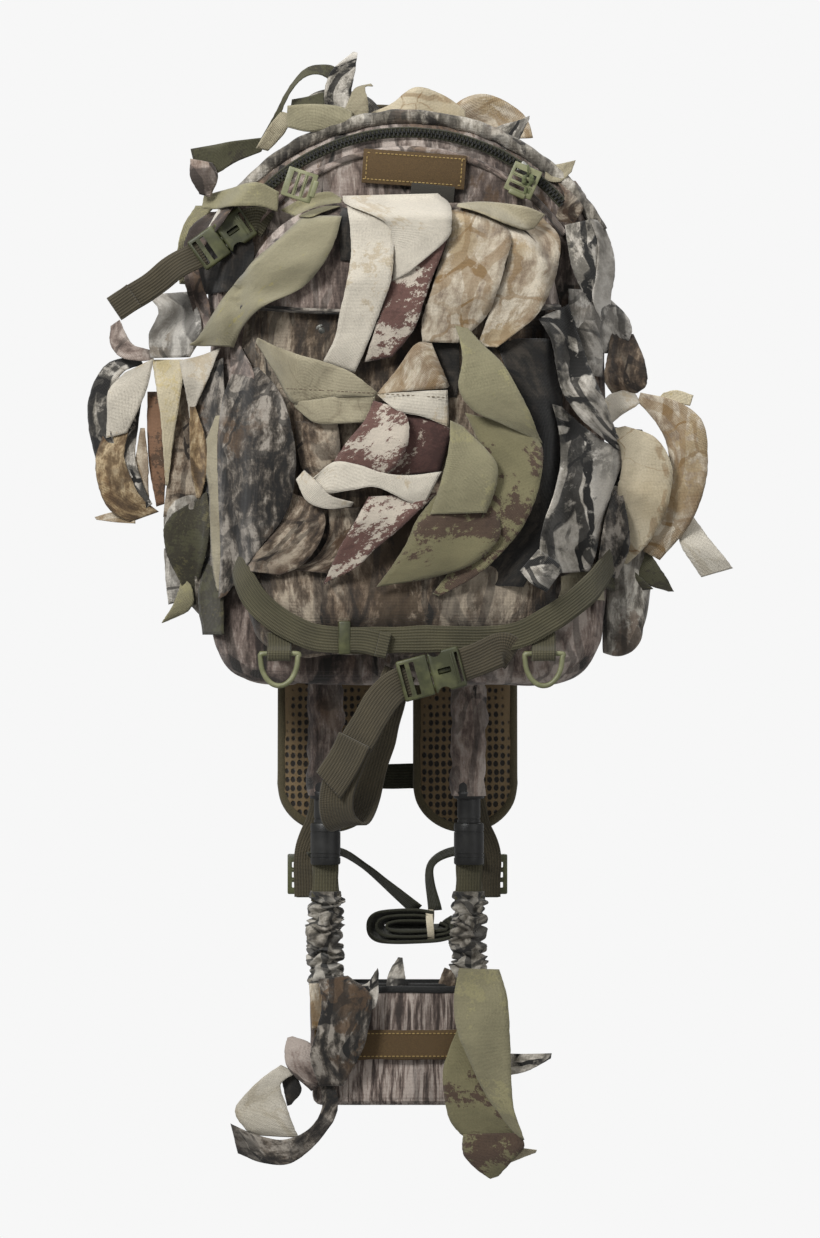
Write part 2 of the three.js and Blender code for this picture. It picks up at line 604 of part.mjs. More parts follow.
// It runs level across the pocket, then climbs to the bag's sides.
function compressionStrap() {
  const sideX = BAG_WIDTH / 2 + GAP + 2;
  const pocketX = POCKET_OFFSET_X - POCKET_HALF - 3;
  const levelFrom = pocketX + 59;
  const levelTo = sideX - 82;
  const legLow = STRAP_RUN_Z + 40;
  const legHigh = STRAP_RUN_Z + 66;
  const band = plate(bandOutline([
    [pocketX, STRAP_RUN_Z + 58], [pocketX + 14, STRAP_RUN_Z + 32], [levelFrom - 18, STRAP_RUN_Z + 10],
    [levelFrom, STRAP_RUN_Z], [levelTo, STRAP_RUN_Z], [levelTo + 30, STRAP_RUN_Z + 10],
    [sideX, STRAP_RUN_Z + 53],
  ], NARROW_WEB), STRAP_Y, CLOTH, 0);
  const half = CLOTH / 2;
  const rightLeg = block(sideX - half, sideX + half, STRAP_Y - CLOTH, SIDE_STRIP_Y - 6, legLow, legHigh);
  const leftLeg = block(pocketX - half, pocketX + half, STRAP_Y - CLOTH, BAG_FRONT_Y - GAP,
    legLow + 3, legHigh);
  return joined(band, rightLeg, leftLeg);
}

function strapKeeper() {
  const half = NARROW_WEB / 2 + 0.5;
  const outer = block(-4.5, 4.5, -CLOTH - 2.4, 2.4, -half - 2, half + 2);
  return cut(outer, block(-6, 6, -CLOTH - 0.4, 0.4, -half, half));
}

add(bag, 'compression_strap', compressionStrap(), 'olive');
const keeperSpot = groupAt(bag, POCKET_OFFSET_X + KEEPER_X, STRAP_Y, STRAP_RUN_Z);
add(keeperSpot, 'strap_keeper', strapKeeper(), 'plastic');

// ---------------------------------------------------------------- D-rings
function dRing() {
  const half = RING_WIDTH / 2;
  const wire = RING_WIRE;
  const outline = roundedOutline(-half, half, wire / 2 - RING_HEIGHT, wire / 2, half - 1, 3);
  outline.holes.push(roundedOutline(-half + wire, half - wire, wire * 1.5 - RING_HEIGHT, -wire / 2,
    half - 1 - wire, 1));
  return plate(outline, wire / 2, wire, 0, 4);
}

function ringTab() {
  const room = RING_ROOM / 2;
  const half = RING_WIDTH / 2 - RING_WIRE - 3;
  const outer = block(-half, half, -room - 2, room + CLOTH, -room - 2, room + 2);
  return cut(outer, block(-half - 1, half + 1, -room, room, -room, room));
}

const ringPlaces = [
  ['left', POCKET_OFFSET_X - POCKET_HALF + LEFT_RING_INSET],
  ['right', POCKET_OFFSET_X + POCKET_HALF - RIGHT_RING_INSET],
];
for (const [name, x] of ringPlaces) {
  const spot = groupAt(bag, x, RING_Y, RING_BAR_Z);
  add(spot, `${name}_ring_tab`, ringTab(), 'olive');
  add(spot, `${name}_d_ring`, dRing(), 'plastic');
}

// ---------------------------------------------------------------- shoulder strap on the bag's left
const upperBuckle = groupAt(bag, -POCKET_HALF - 19, BAG_FRONT_Y - GAP - BUCKLE_THICKNESS / 2 - 1,
  SHOULDER_Z - 8, -35);
add(upperBuckle, 'side_buckle_socket', buckleSocket(NARROW_WEB), 'plastic');
add(upperBuckle, 'side_buckle_plug', bucklePlug(NARROW_WEB), 'plastic');

const sideTailStart = -BUCKLE_LENGTH / 2 - 2;
add(upperBuckle, 'side_strap_tail', plate(bandOutline(
  [[sideTailStart, 0], [sideTailStart - 36, 4], [sideTailStart - 60, -6]],
  NARROW_WEB, 10), CLOTH / 2, CLOTH), 'olive');

// ---------------------------------------------------------------- shoulder harness
const harness = groupAt(model, 0, HARNESS_Y, 0);

add(model, 'harness_yoke', block(-YOKE_WIDTH / 2, YOKE_WIDTH / 2, HARNESS_Y - GAP,
  BAG_BACK_Y + GAP, PAD_TOP - YOKE_HEIGHT, PAD_TOP), 'olive');

function padProfile() {
  const middle = (PAD_TOP + PAD_BOTTOM) / 2;
  const line = [[0, PAD_TOP], [PAD_BOW * 0.75, PAD_TOP - 120], [PAD_BOW, middle],
    [PAD_BOW * 0.85, PAD_BOTTOM + 120], [PAD_BOW * 0.5, PAD_BOTTOM]];
  return bandOutline(line.map(([y, z]) => [y + PAD_THICKNESS / 2, z]), PAD_THICKNESS, 14);
}

function shoulderPad(side) {
  const half = PAD_WIDTH / 2;
  const curved = plate(padProfile(), PAD_WIDTH, 2 * PAD_WIDTH).rotateZ(Math.PI / 2);
  const face = plate(roundedOutline(-half, half, PAD_BOTTOM, PAD_TOP, half - 4, 12), 200, 400, 0, 5);
  return common(curved, face).translate(side * PAD_CENTRE_X, 0, 0);
}

function ladderLock() {
  const half = WEB_WIDTH / 2 + 3;
  const outline = roundedOutline(-half, half, -32, 0, 3);
  for (const z of [-9, -17, -25]) {
    outline.holes.push(roundedOutline(-half + 3.5, half - 3.5, z - 1.8, z + 1.8, 1));
  }
  return plate(outline, 2, 4, 0, 1);
}

// Adjuster webbing from a pad's tip past its ladder lock, then in to the tied bundle.
function adjusterStrap(side) {
  const drop = plate(bandOutline([[side * (PAD_CENTRE_X + 6), PAD_BOTTOM + 24],
    [side * LOCK_X, LOCK_TOP - 4], [side * LOCK_X, LOCK_TOP - 30]], NARROW_WEB * 0.8), 0, CLOTH);
  const end = side < 0 ? [14, BUNDLE_TOP - 4] : [36, BUNDLE_TOP + 3];
  const tail = plate(bandOutline([[side * LOCK_X, LOCK_TOP - 2], [side * (POLE_X - 13), LOCK_TOP - 3],
    [side * 12 + 6, LOCK_TOP - 16], end], CLOTH, 16), 0, NARROW_WEB);
  return side < 0 ? joined(drop, tail, bundle()) : joined(drop, tail);
}

function bundle() {
  const half = BUNDLE_LENGTH / 2;
  return plate(roundedOutline(BUNDLE_X - half, BUNDLE_X + half, BUNDLE_TOP - BUNDLE_HEIGHT, BUNDLE_TOP,
    BUNDLE_HEIGHT / 2 - 0.5), 0, NARROW_WEB, 0, 3);
}

function bundleBand() {
  const x = BUNDLE_X + 14;
  const low = BUNDLE_TOP - BUNDLE_HEIGHT;
  const outer = block(x - 3, x + 3, -NARROW_WEB - 1.6, 1.6, low - 1.6, BUNDLE_TOP + 1.6);
  return cut(outer, block(x - 4, x + 4, -NARROW_WEB - GAP, GAP, low - GAP, BUNDLE_TOP + GAP));
}

const webbing = groupAt(harness, 0, PAD_TIP_Y - LAYER_GAP, 0);
for (const [side, name] of [[-1, 'left'], [1, 'right']]) {
  add(harness, `${name}_shoulder_pad`, shoulderPad(side), 'mesh');
  add(webbing, `${name}_adjuster_strap`, adjusterStrap(side), 'olive');
  const lockSpot = groupAt(webbing, side * LOCK_X, 3 + CLOTH, LOCK_TOP);
  add(lockSpot, `${name}_ladder_lock`, ladderLock(), 'plastic');
}
add(webbing, 'bundle_band', bundleBand(), 'cream');

function sternumStrap() {
  const half = PAD_CENTRE_X + 4;
  const strap = block(-half, half, 0, CLOTH, -NARROW_WEB / 2, NARROW_WEB / 2);
  const ends = [-half, half].map((x) => block(x - 7, x + 7, -0.5, CLOTH + 3, -13, 13));
  return joined(strap, ...ends);
}
const sternum = groupAt(harness, 0, PAD_BOW * 0.8 + PAD_THICKNESS + 2, STERNUM_Z);
add(sternum, 'sternum_strap', sternumStrap(), 'olive');

// ---------------------------------------------------------------- camouflage strips
// Each strip: root x, root z, length, width, lean in degrees towards -X.
const bagHalf = BAG_WIDTH / 2;
const crown = ARCH_CENTRE_Z + ARCH_RADIUS;

add(bag, 'top_strips', edgeStrips(-100,
  archOutline(ARCH_CENTRE_Z, ARCH_RADIUS - 4, ARCH_RADIUS + 8, -57, 40), [
    [-88, crown - 16, 76, 26, 216], [-70, crown - 10, 44, 24, 232], [-30, crown - 1, 22, 34, 196],
    [18, crown, 22, 40, 168], [78, crown - 18, 20, 18, 140], [-130, SHOULDER_Z + 34, 44, 30, 108],
  ]), 'olive');

add(bag, 'shoulder_strips', joined(
  stripRow(SHOULDER_STRIP_Y, roundedOutline(-bagHalf + 6, -bagHalf + 20, 10, SHOULDER_Z - 50, 2), [
    [-bagHalf + 12, SHOULDER_Z - 60, 78, 34, 70], [-bagHalf + 13, SHOULDER_Z - 76, 60, 30, 52],
    [-bagHalf + 12, 30, 74, 30, 86],
  ]),
  block(-bagHalf + 8, -bagHalf + 18, SHOULDER_STRIP_Y - 1, BAG_FRONT_Y - GAP, 30, 60)), 'cream');

add(bag, 'flap_strips', stripRow(FLAP_STRIP_Y, roundedOutline(-72, 96, POCKET_TOP - 24, POCKET_TOP - 8, 2), [
  [-48, POCKET_TOP - 12, 132, 62, 48], [-34, POCKET_TOP - 14, 132, 46, 8], [14, POCKET_TOP - 12, 136, 52, 14],
  [52, POCKET_TOP - 12, 112, 46, 0], [82, POCKET_TOP - 12, 100, 50, -14],
]), 'cream');

add(bag, 'front_strips', stripRow(STRIP_Y, roundedOutline(-92, 100, 14, 30, 2), [
  [-82, 28, 160, 60, 2], [-66, 26, 100, 50, -20], [-20, 28, 90, 70, 0], [16, 26, 100, 58, 20],
  [34, 26, 160, 62, 8], [64, 28, 140, 60, -12], [88, 28, 168, 44, 4],
]), 'cream');

add(bag, 'left_strips', edgeStrips(SIDE_STRIP_Y, roundedOutline(-bagHalf - 9, -bagHalf, -110, 52, 2), [
  [-bagHalf - 5, 40, 94, 56, 84], [-bagHalf - 6, 20, 104, 50, 54], [-bagHalf - 6, 0, 92, 44, 34],
  [-bagHalf - 6, -36, 112, 36, 16], [-bagHalf - 5, -80, 86, 34, 14],
]), 'olive');

add(bag, 'right_strips', edgeStrips(SIDE_STRIP_Y, roundedOutline(bagHalf, bagHalf + 9, -104, SHOULDER_Z - 10, 2), [
  [bagHalf + 6, SHOULDER_Z - 14, 96, 30, -8], [bagHalf + 4, SHOULDER_Z - 12, 56, 30, 190], [bagHalf + 6, 30, 80, 54, -64], [bagHalf + 6, 12, 100, 56, -48],
  [bagHalf + 6, -20, 96, 50, -28], [bagHalf + 6, -92, 92, 30, -72],
]), 'cream');

add(cup, 'cup_strips', stripRow(-CUP_DEPTH / 2 - GAP - 1.2 - LAYER_GAP,
  roundedOutline(-60, 62, -22, -8, 2), [
    [-40, -2, 84, 42, 10], [-58, -14, 60, 28, 24], [-50, -16, 112, 30, 42], [-30, -18, 116, 34, 60],
    [-34, -6, 30, 20, 176], [52, 10, 156, 62, -8], [60, -18, 66, 22, -52], [-4, -14, 30, 18, 184],
  ]), 'olive');

export default model;
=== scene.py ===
"""A hunter's day pack with an arrow quiver, dressed in sewn-on camouflage strips.

Lengths in the lists are millimetres in the pack's own frame; MM turns them into metres."""
import math

import bpy
import numpy as np
from mathutils import Matrix, Vector, noise


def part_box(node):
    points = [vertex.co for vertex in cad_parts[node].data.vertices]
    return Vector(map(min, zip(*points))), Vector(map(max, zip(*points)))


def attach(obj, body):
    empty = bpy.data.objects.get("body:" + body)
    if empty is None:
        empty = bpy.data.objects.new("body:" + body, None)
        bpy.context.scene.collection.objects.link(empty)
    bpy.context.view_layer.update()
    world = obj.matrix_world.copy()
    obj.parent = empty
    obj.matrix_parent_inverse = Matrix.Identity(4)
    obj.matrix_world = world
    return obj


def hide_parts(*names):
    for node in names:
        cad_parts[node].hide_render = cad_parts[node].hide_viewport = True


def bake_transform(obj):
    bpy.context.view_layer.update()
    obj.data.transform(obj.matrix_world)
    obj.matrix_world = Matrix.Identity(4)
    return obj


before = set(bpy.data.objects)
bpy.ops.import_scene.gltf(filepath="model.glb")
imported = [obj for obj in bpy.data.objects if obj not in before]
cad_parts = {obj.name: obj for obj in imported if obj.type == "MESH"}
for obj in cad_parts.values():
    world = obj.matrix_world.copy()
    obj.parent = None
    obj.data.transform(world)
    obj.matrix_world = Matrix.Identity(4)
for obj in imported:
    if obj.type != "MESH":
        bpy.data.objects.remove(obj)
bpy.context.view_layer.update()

MM = 0.001
FRONT = Vector((0, -1, 0))
UP = Vector((0, 0, 1))


def span(node):
    """A node's lowest and highest corners, in millimetres."""
    low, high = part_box(node)
    return low / MM, high / MM


def middle(node):
    low, high = span(node)
    return (low + high) / 2


BAG_LOW, BAG_HIGH = span("main_bag")
POCKET_LOW, POCKET_HIGH = span("front_pocket")
BAG_X = (BAG_LOW.x + BAG_HIGH.x) / 2
POCKET_X = (POCKET_LOW.x + POCKET_HIGH.x) / 2
CROWN_Z = BAG_HIGH.z
ARCH_DROP = 82
ARCH_Z = CROWN_Z - math.hypot(ARCH_DROP, (BAG_HIGH.x - BAG_LOW.x) / 2)
ARCH_RADIUS = CROWN_Z - ARCH_Z


# ------------------------------------------------------------------ camera
VIEW_DISTANCE = 3500
VIEW_SPAN = 928.5
SENSOR = 36
camera_data = bpy.data.cameras.new("camera")
camera = bpy.data.objects.new("camera", camera_data)
bpy.context.scene.collection.objects.link(camera)
camera.location = Vector((BAG_X + 2, -VIEW_DISTANCE - 190, -164)) * MM
camera.rotation_euler = (math.pi / 2, 0, 0)
camera_data.sensor_width = SENSOR
camera_data.lens = SENSOR * VIEW_DISTANCE / VIEW_SPAN
camera_data.clip_end = 30
bpy.context.scene.camera = camera


# ------------------------------------------------------------------ finishes
def rgb(red, green, blue):
    """A display colour, 0 to 255, as scene values."""
    shares = [c / 255 for c in (red, green, blue)]
    return tuple(c / 12.92 if c <= 0.04 else ((c + 0.055) / 1.055) ** 2.4 for c in shares) + (1,)


class Socket:
    """One output of a finish's nodes. Arithmetic on a value adds Math nodes."""

    def __init__(self, finish, link):
        self.finish = finish
        self.link = link

    def math(self, operation, *others):
        values = dict(enumerate((self, *others)))
        return self.finish.node("ShaderNodeMath", {"operation": operation}, values)

    def __add__(self, other):
        return self.math("ADD", other)

    def __sub__(self, other):
        return self.math("SUBTRACT", other)

    def __rsub__(self, other):
        values = {0: other, 1: self}
        return self.finish.node("ShaderNodeMath", {"operation": "SUBTRACT"}, values)

    def __mul__(self, other):
        return self.math("MULTIPLY", other)

    __radd__ = __add__
    __rmul__ = __mul__

    def above(self, low, high):
        """0 below low, 1 above high."""
        return self.finish.node("ShaderNodeMapRange", {}, {0: self, 1: low, 2: high})

    def below(self, low, high):
        return 1 - self.above(low, high)


class Finish:
    """A procedural material and the nodes that make it."""

    def __init__(self, name, roughness=0.9, metallic=0.0, sheen=0.0):
        self.material = bpy.data.materials.new(name)
        self.material.use_nodes = True
        self.nodes = self.material.node_tree.nodes
        self.links = self.material.node_tree.links
        self.shader = self.nodes["Principled BSDF"]
        self.shader.inputs["Roughness"].default_value = roughness
        self.shader.inputs["Metallic"].default_value = metallic
        self.shader.inputs["Sheen Weight"].default_value = sheen
        self.object_place = self.node("ShaderNodeTexCoord", {}, {}, "Object")
        self.cloth_place = self.node("ShaderNodeTexCoord", {}, {}, "UV")

    def node(self, kind, settings, values, output=0):
        node = self.nodes.new(kind)
        for name, value in settings.items():
            if name == "stops":
                self.set_stops(node.color_ramp, value)
            else:
                setattr(node, name, value)
        for name, value in values.items():
            self.put(node.inputs[name], value)
        return Socket(self, node.outputs[output])

    def set_stops(self, ramp, stops):
        while len(ramp.elements) < len(stops):
            ramp.elements.new(0.5)
        for element, (position, colour) in zip(ramp.elements, stops):
            element.position = position
            element.color = colour

    def put(self, socket, value):
        if isinstance(value, Socket):
            self.links.new(value.link, socket)
        else:
            socket.default_value = value

    def scaled(self, place, scale, offset=(0, 0, 0)):
        return self.node("ShaderNodeMapping", {}, {"Vector": place, "Scale": scale, "Location": offset})

    def cloud(self, place, scale, detail=4.0, roughness=0.55, twist=0.0):
        return self.node("ShaderNodeTexNoise", {}, {
            "Vector": place, "Scale": scale, "Detail": detail, "Roughness": roughness, "Distortion": twist})

    def cracks(self, place, scale):
        return self.node("ShaderNodeTexVoronoi", {"feature": "DISTANCE_TO_EDGE"},
                         {"Vector": place, "Scale": scale})

    def bands(self, place, scale, direction="X"):
        settings = {"wave_type": "BANDS", "bands_direction": direction, "wave_profile": "SIN"}
        return self.node("ShaderNodeTexWave", settings, {"Vector": place, "Scale": scale}, "Fac")

    def pushed(self, place, scale, amount):
        """The place moved about by a cloud."""
        push = self.node("ShaderNodeTexNoise", {}, {"Vector": place, "Scale": scale, "Detail": 3.0}, "Color")
        push = self.node("ShaderNodeVectorMath", {"operation": "SUBTRACT"}, {0: push, 1: (0.5, 0.5, 0.5)})
        push = self.node("ShaderNodeVectorMath", {"operation": "SCALE"}, {0: push, "Scale": amount})
        return self.node("ShaderNodeVectorMath", {"operation": "ADD"}, {0: place, 1: push})

    def ramp(self, value, *stops):
        return self.node("ShaderNodeValToRGB", {"stops": stops}, {0: value})

    def mix(self, first, second, factor):
        return self.node("ShaderNodeMix", {"data_type": "RGBA"}, {0: factor, 6: first, 7: second}, 2)

    def done(self, colour, height=None, depth=0.0004, roughness=None, strength=1.0):
        self.put(self.shader.inputs["Base Color"], colour)
        if roughness is not None:
            self.put(self.shader.inputs["Roughness"], roughness)
        if height is not None:
            bump = self.node("ShaderNodeBump", {},
                             {"Height": height, "Distance": depth, "Strength": strength}, "Normal")
            self.put(self.shader.inputs["Normal"], bump)
        return self.material


BAND_SPACING = 0.3183
THREAD_PITCH = 0.0011


def weave(finish, place, pitch=THREAD_PITCH):
    """A plain weave's height with threads about a pitch apart."""
    scale = BAND_SPACING / pitch
    across = finish.bands(place, scale, "X")
    along = finish.bands(place, scale, "Y")
    up = finish.bands(place, scale, "Z")
    return across * 0.4 + along * 0.3 + up * 0.4


INK = (0.012, 0.011, 0.009, 1)


def threaded(finish, place, colour):
    """The same colour with the grain that single threads give it."""
    grain = finish.cloud(place, 800.0, 3.0, 0.7).above(0.42, 0.66)
    rub = finish.cloud(place, 46.0, 6.0, 0.7).above(0.44, 0.62)
    return finish.mix(colour, INK, grain * 0.16 + rub * 0.1)


def clothed(finish, base, colour, crease_scale=22.0):
    """Gives a print its threads, its weave and its soft creases."""
    creases = finish.cloud(base, crease_scale, 4.0, 0.6)
    return finish.done(threaded(finish, base, colour), weave(finish, base) * 0.2 + creases * 1.2, 0.0028)


def printed(name, tones, blotch, twig, place="UV", offset=(0, 0, 0), stretch=1.0, twigs=0.55, bark=0.5,
            grain_scale=42.0):
    """Cloth printed with bark, blotches of leaf litter and twigs.

    tones run dark to pale for the bark; stretch makes its grain longer along the print."""
    finish = Finish(name, 0.92, sheen=0.15)
    base = finish.cloth_place if place == "UV" else finish.object_place
    long_axis = (1, 1 / stretch, 1) if place == "UV" else (1, 1, 1 / stretch)
    where = finish.scaled(base, long_axis, offset)
    bent = finish.pushed(where, 14.0, 0.035)
    grain = finish.cloud(finish.scaled(bent, (2.6, 1, 1)), grain_scale, 9.0, 0.68)
    limb = finish.cloud(finish.scaled(bent, (1.6, 1, 1)), 11.0, 3.0, 0.5)
    value = grain * bark + limb * (1 - bark)
    dark, mid, light, pale = tones
    value = value + (finish.cloud(where, 150.0, 6.0, 0.75) - 0.5) * 0.22
    colour = finish.ramp(value, (0.4, dark), (0.455, mid), (0.5, light), (0.56, pale))
    litter = finish.cloud(bent, 26.0, 8.0, 0.7)
    litter_gate = finish.cloud(where, 9.0, 2.0).above(0.5, 0.56)
    colour = finish.mix(colour, blotch, litter.above(0.5, 0.54) * litter_gate * 0.85)
    fine = finish.cracks(finish.pushed(where, 30.0, 0.03), 26.0).below(0.03, 0.045)
    thick_place = finish.scaled(finish.pushed(where, 18.0, 0.05), (1.3, 0.8, 1))
    thick = finish.cracks(thick_place, 11.0).below(0.03, 0.04)
    gate = finish.cloud(where, 13.0, 3.0).above(0.47, 0.55)
    wood = finish.cloud(where, 60.0, 6.0, 0.7).above(0.36, 0.46)
    leaning = finish.node("ShaderNodeMapping", {}, {
        "Vector": finish.pushed(where, 9.0, 0.05), "Rotation": (0.3, 0.75, 0.75), "Scale": (3.2, 0.9, 1)})
    boughs = finish.cracks(leaning, 7.0).below(0.04, 0.05)
    shade = finish.cloud(where, 7.0, 2.0).above(0.42, 0.62)
    colour = finish.mix(colour, twig, shade * grain.below(0.46, 0.56) * 0.55)
    colour = finish.mix(colour, twig, (fine * gate + thick * (1 - gate) + boughs * 0.9) * twigs * wood)
    specks = finish.cloud(where, 130.0, 5.0, 0.75).above(0.62, 0.66)
    colour = finish.mix(colour, twig, specks * 0.5 * twigs)
    return clothed(finish, base, colour)


def mottled(name, ground, mark, dark, cover=0.5, scale=24.0, streak=(1, 1, 1)):
    """Cloth printed with torn-edged blotches that cover a share of a plain ground."""
    finish = Finish(name, 0.92, sheen=0.15)
    base = finish.cloth_place
    where = finish.scaled(base, streak)
    patch = finish.cloud(where, scale, 10.0, 0.66)
    torn = finish.cloud(where, scale * 9, 6.0, 0.8) * 0.5 + patch
    edge = 0.75 + (0.5 - cover) * 0.36
    mask = torn.above(edge, edge + 0.012)
    tint = finish.cloud(where, 8.0, 2.0).above(0.3, 0.7)
    colour = finish.mix(ground, tuple(c * 0.84 for c in ground[:3]) + (1,), tint)
    colour = finish.mix(colour, mark, mask)
    colour = finish.mix(colour, dark, torn.above(edge + 0.1, edge + 0.13) * 0.6)
    return clothed(finish, base, colour, 24.0)


def branched(name, ground, wash, line, amount=0.8):
    """Tan cloth printed with long branches and a soft wash of colour."""
    finish = Finish(name, 0.92, sheen=0.15)
    base = finish.cloth_place
    soft = finish.cloud(base, 15.0, 5.0, 0.6).above(0.42, 0.62)
    colour = finish.mix(ground, wash, soft * 0.7)
    bent = finish.pushed(base, 16.0, 0.05)
    limbs = finish.cracks(finish.scaled(bent, (1.5, 0.7, 1)), 15.0)
    thin = finish.cracks(finish.pushed(base, 40.0, 0.02), 34.0)
    gate = finish.cloud(base, 12.0, 3.0).above(0.42, 0.52)
    wood = finish.cloud(base, 90.0, 5.0, 0.7).above(0.4, 0.5)
    colour = finish.mix(colour, line, (limbs.below(0.03, 0.055)
                                       + thin.below(0.01, 0.025) * gate) * wood * amount)
    return clothed(finish, base, colour)


def ribbed(name, dark, light, pitch=0.0022):
    """Woven webbing: fine ribs along its length, crossed by finer threads."""
    finish = Finish(name, 0.8, sheen=0.1)
    base = finish.cloth_place
    ribs = finish.bands(base, BAND_SPACING / pitch, "X")
    picks = finish.bands(base, BAND_SPACING / THREAD_PITCH, "Y")
    height = ribs * 0.6 + picks * 0.5
    wear = finish.cloud(base, 35.0, 5.0).above(0.35, 0.7)
    # Rib tops are painted paler and the grooves between them darker: painted shade in the grooves, with
    # random wear mixed in.
    colour = finish.mix(dark, light, height * 0.6 + wear * 0.4)
    return finish.done(colour, height, 0.0006)


def netted(name, thread, hole, cell=0.0052):
    """Three-dimensional spacer mesh: a honeycomb of threads over dark holes."""
    finish = Finish(name, 0.9, sheen=0.1)
    place = finish.object_place
    cells = finish.node("ShaderNodeTexVoronoi", {"feature": "F1"},
                        {"Vector": finish.scaled(place, (1, 0.25, 0.8)), "Scale": 1 / cell,
                         "Randomness": 0.15})
    hollow = cells.below(0.3, 0.42)
    fuzz = finish.cloud(place, 700.0, 3.0)
    tint = finish.mix(thread, tuple(c * 0.6 for c in thread[:3]) + (1,), fuzz)
    # The holes are painted near black: painted shade down inside them.
    return finish.done(finish.mix(tint, hole, hollow), 1 - hollow, 0.0014)


def moulded(name, colour, pale, roughness=0.42):
    """Moulded plastic with a fine grain, a little paler where it is rubbed."""
    finish = Finish(name, roughness)
    place = finish.object_place
    rub = finish.cloud(place, 55.0, 5.0, 0.6)
    grain = finish.cloud(place, 2200.0, 2.0)
    tint = finish.mix(colour, pale, rub.above(0.45, 0.75))
    return finish.done(tint, grain, 0.00012, rub * 0.25 + (roughness - 0.1))


def felt(name, colour, pale, scale=900.0, depth=0.0005, roughness=0.95):
    """Foam, rubber or lining with an even open texture."""
    finish = Finish(name, roughness, sheen=0.1)
    place = finish.object_place
    pores = finish.cloud(place, scale, 4.0, 0.7)
    return finish.done(finish.mix(colour, pale, pores.above(0.35, 0.7)), pores, depth)


BARK_TONES = (rgb(66, 55, 50), rgb(108, 93, 85), rgb(146, 130, 120), rgb(184, 171, 161))
GREY_TONES = (rgb(72, 67, 58), rgb(126, 119, 107), rgb(172, 165, 152), rgb(208, 202, 190))
DARK_TONES = (rgb(22, 20, 18), rgb(56, 50, 43), rgb(104, 96, 86), rgb(158, 150, 139))
BROWN_TONES = (rgb(52, 42, 33), rgb(96, 80, 64), rgb(134, 117, 98), rgb(178, 164, 144))
TWIG = rgb(42, 38, 34)

bag_cloth = printed("bark_print_cloth", BARK_TONES, rgb(108, 84, 62), TWIG, "Object", stretch=1.9, bark=0.55)
dark_cloth = printed("shaded_bark_cloth", BROWN_TONES, rgb(74, 60, 44), TWIG, "Object", (0.3, 0, 0.2), 1.6)
side_cloth = printed("grey_bark_cloth", GREY_TONES, rgb(122, 104, 88), TWIG, "Object", (0.7, 0, 0.1), 1.3)
cup_cloth = printed("tree_bark_cloth", BARK_TONES, rgb(92, 80, 70), TWIG, "Object", (0, 0, 0.4), 4.0,
                    bark=0.95,
                    twigs=0.25, grain_scale=90.0)
TWIG_TONES = (rgb(64, 60, 53), rgb(146, 140, 128), rgb(188, 181, 169), rgb(216, 210, 199))
grey_leaf = printed("grey_twig_leaf", TWIG_TONES, rgb(96, 92, 84), rgb(26, 25, 23), twigs=1.0, bark=0.45)
dark_leaf = printed("charcoal_bark_leaf", DARK_TONES, rgb(96, 74, 52), rgb(26, 24, 22), bark=0.7, twigs=0.7)
brown_leaf = printed("brown_bark_leaf", BROWN_TONES, rgb(92, 66, 44), rgb(40, 32, 25), bark=0.6, twigs=0.6)
pale_leaf = printed("pale_bark_leaf", BARK_TONES, rgb(128, 106, 86), rgb(60, 52, 46), twigs=0.8, bark=0.4)
cream_leaf = mottled("cream_leaf", rgb(208, 200, 184), rgb(190, 177, 154), rgb(164, 148, 120), 0.3)
maroon_leaf = mottled("cream_and_maroon_leaf", rgb(204, 193, 177), rgb(108, 78, 70), rgb(84, 58, 52), 0.6)
tan_leaf = printed("tan_branch_leaf", (rgb(132, 116, 98), rgb(164, 149, 129), rgb(186, 173, 152),
                   rgb(208, 197, 177)), rgb(168, 148, 114), rgb(138, 112, 76), bark=0.55, twigs=0.6)
khaki_leaf = branched("khaki_leaf", rgb(172, 163, 137), rgb(142, 133, 108), rgb(112, 101, 80), 0.3)
olive_leaf = mottled("olive_leaf", rgb(156, 149, 121), rgb(166, 156, 100), rgb(182, 170, 108), 0.3, 30.0,
                     (1, 0.35, 1))
green_leaf = mottled("olive_and_brown_leaf", rgb(126, 120, 88), rgb(80, 63, 50), rgb(62, 47, 38), 0.42)
rust_leaf = mottled("rust_leaf", rgb(128, 96, 72), rgb(84, 64, 48), rgb(206, 194, 172), 0.45)
yellow_leaf = mottled("cream_and_yellow_leaf", rgb(208, 196, 166), rgb(198, 183, 142), rgb(140, 112, 78), 0.4)
dark_green_leaf = mottled("dark_olive_leaf", rgb(74, 72, 50), rgb(56, 52, 38), rgb(104, 98, 66), 0.5)
bark_tan_leaf = printed("tan_bark_leaf", (rgb(92, 74, 52), rgb(132, 108, 76), rgb(160, 136, 100),
                        rgb(192, 172, 138)), rgb(120, 92, 60), rgb(70, 54, 38), bark=0.7, twigs=0.5)
grey_white_leaf = printed("pale_grey_leaf", (rgb(126, 120, 110), rgb(164, 158, 148), rgb(190, 184, 174),
                          rgb(212, 207, 198)), rgb(150, 138, 122), rgb(48, 46, 42), bark=0.35, twigs=0.7)
light_tan_leaf = branched("light_tan_leaf", rgb(198, 186, 160), rgb(166, 150, 118), rgb(138, 112, 78), 0.6)
pale_cream_leaf = branched("pale_cream_leaf", rgb(206, 199, 184), rgb(188, 180, 162), rgb(168, 156, 132), 0.4)
# A darker copy of the cream and maroon cloth, for a maroon strip that lies in shade: painted shade.
painted_shade_maroon_leaf = mottled("painted_shade_maroon_leaf", rgb(190, 176, 160), rgb(84, 56, 50), rgb(62, 40, 36), 0.68)
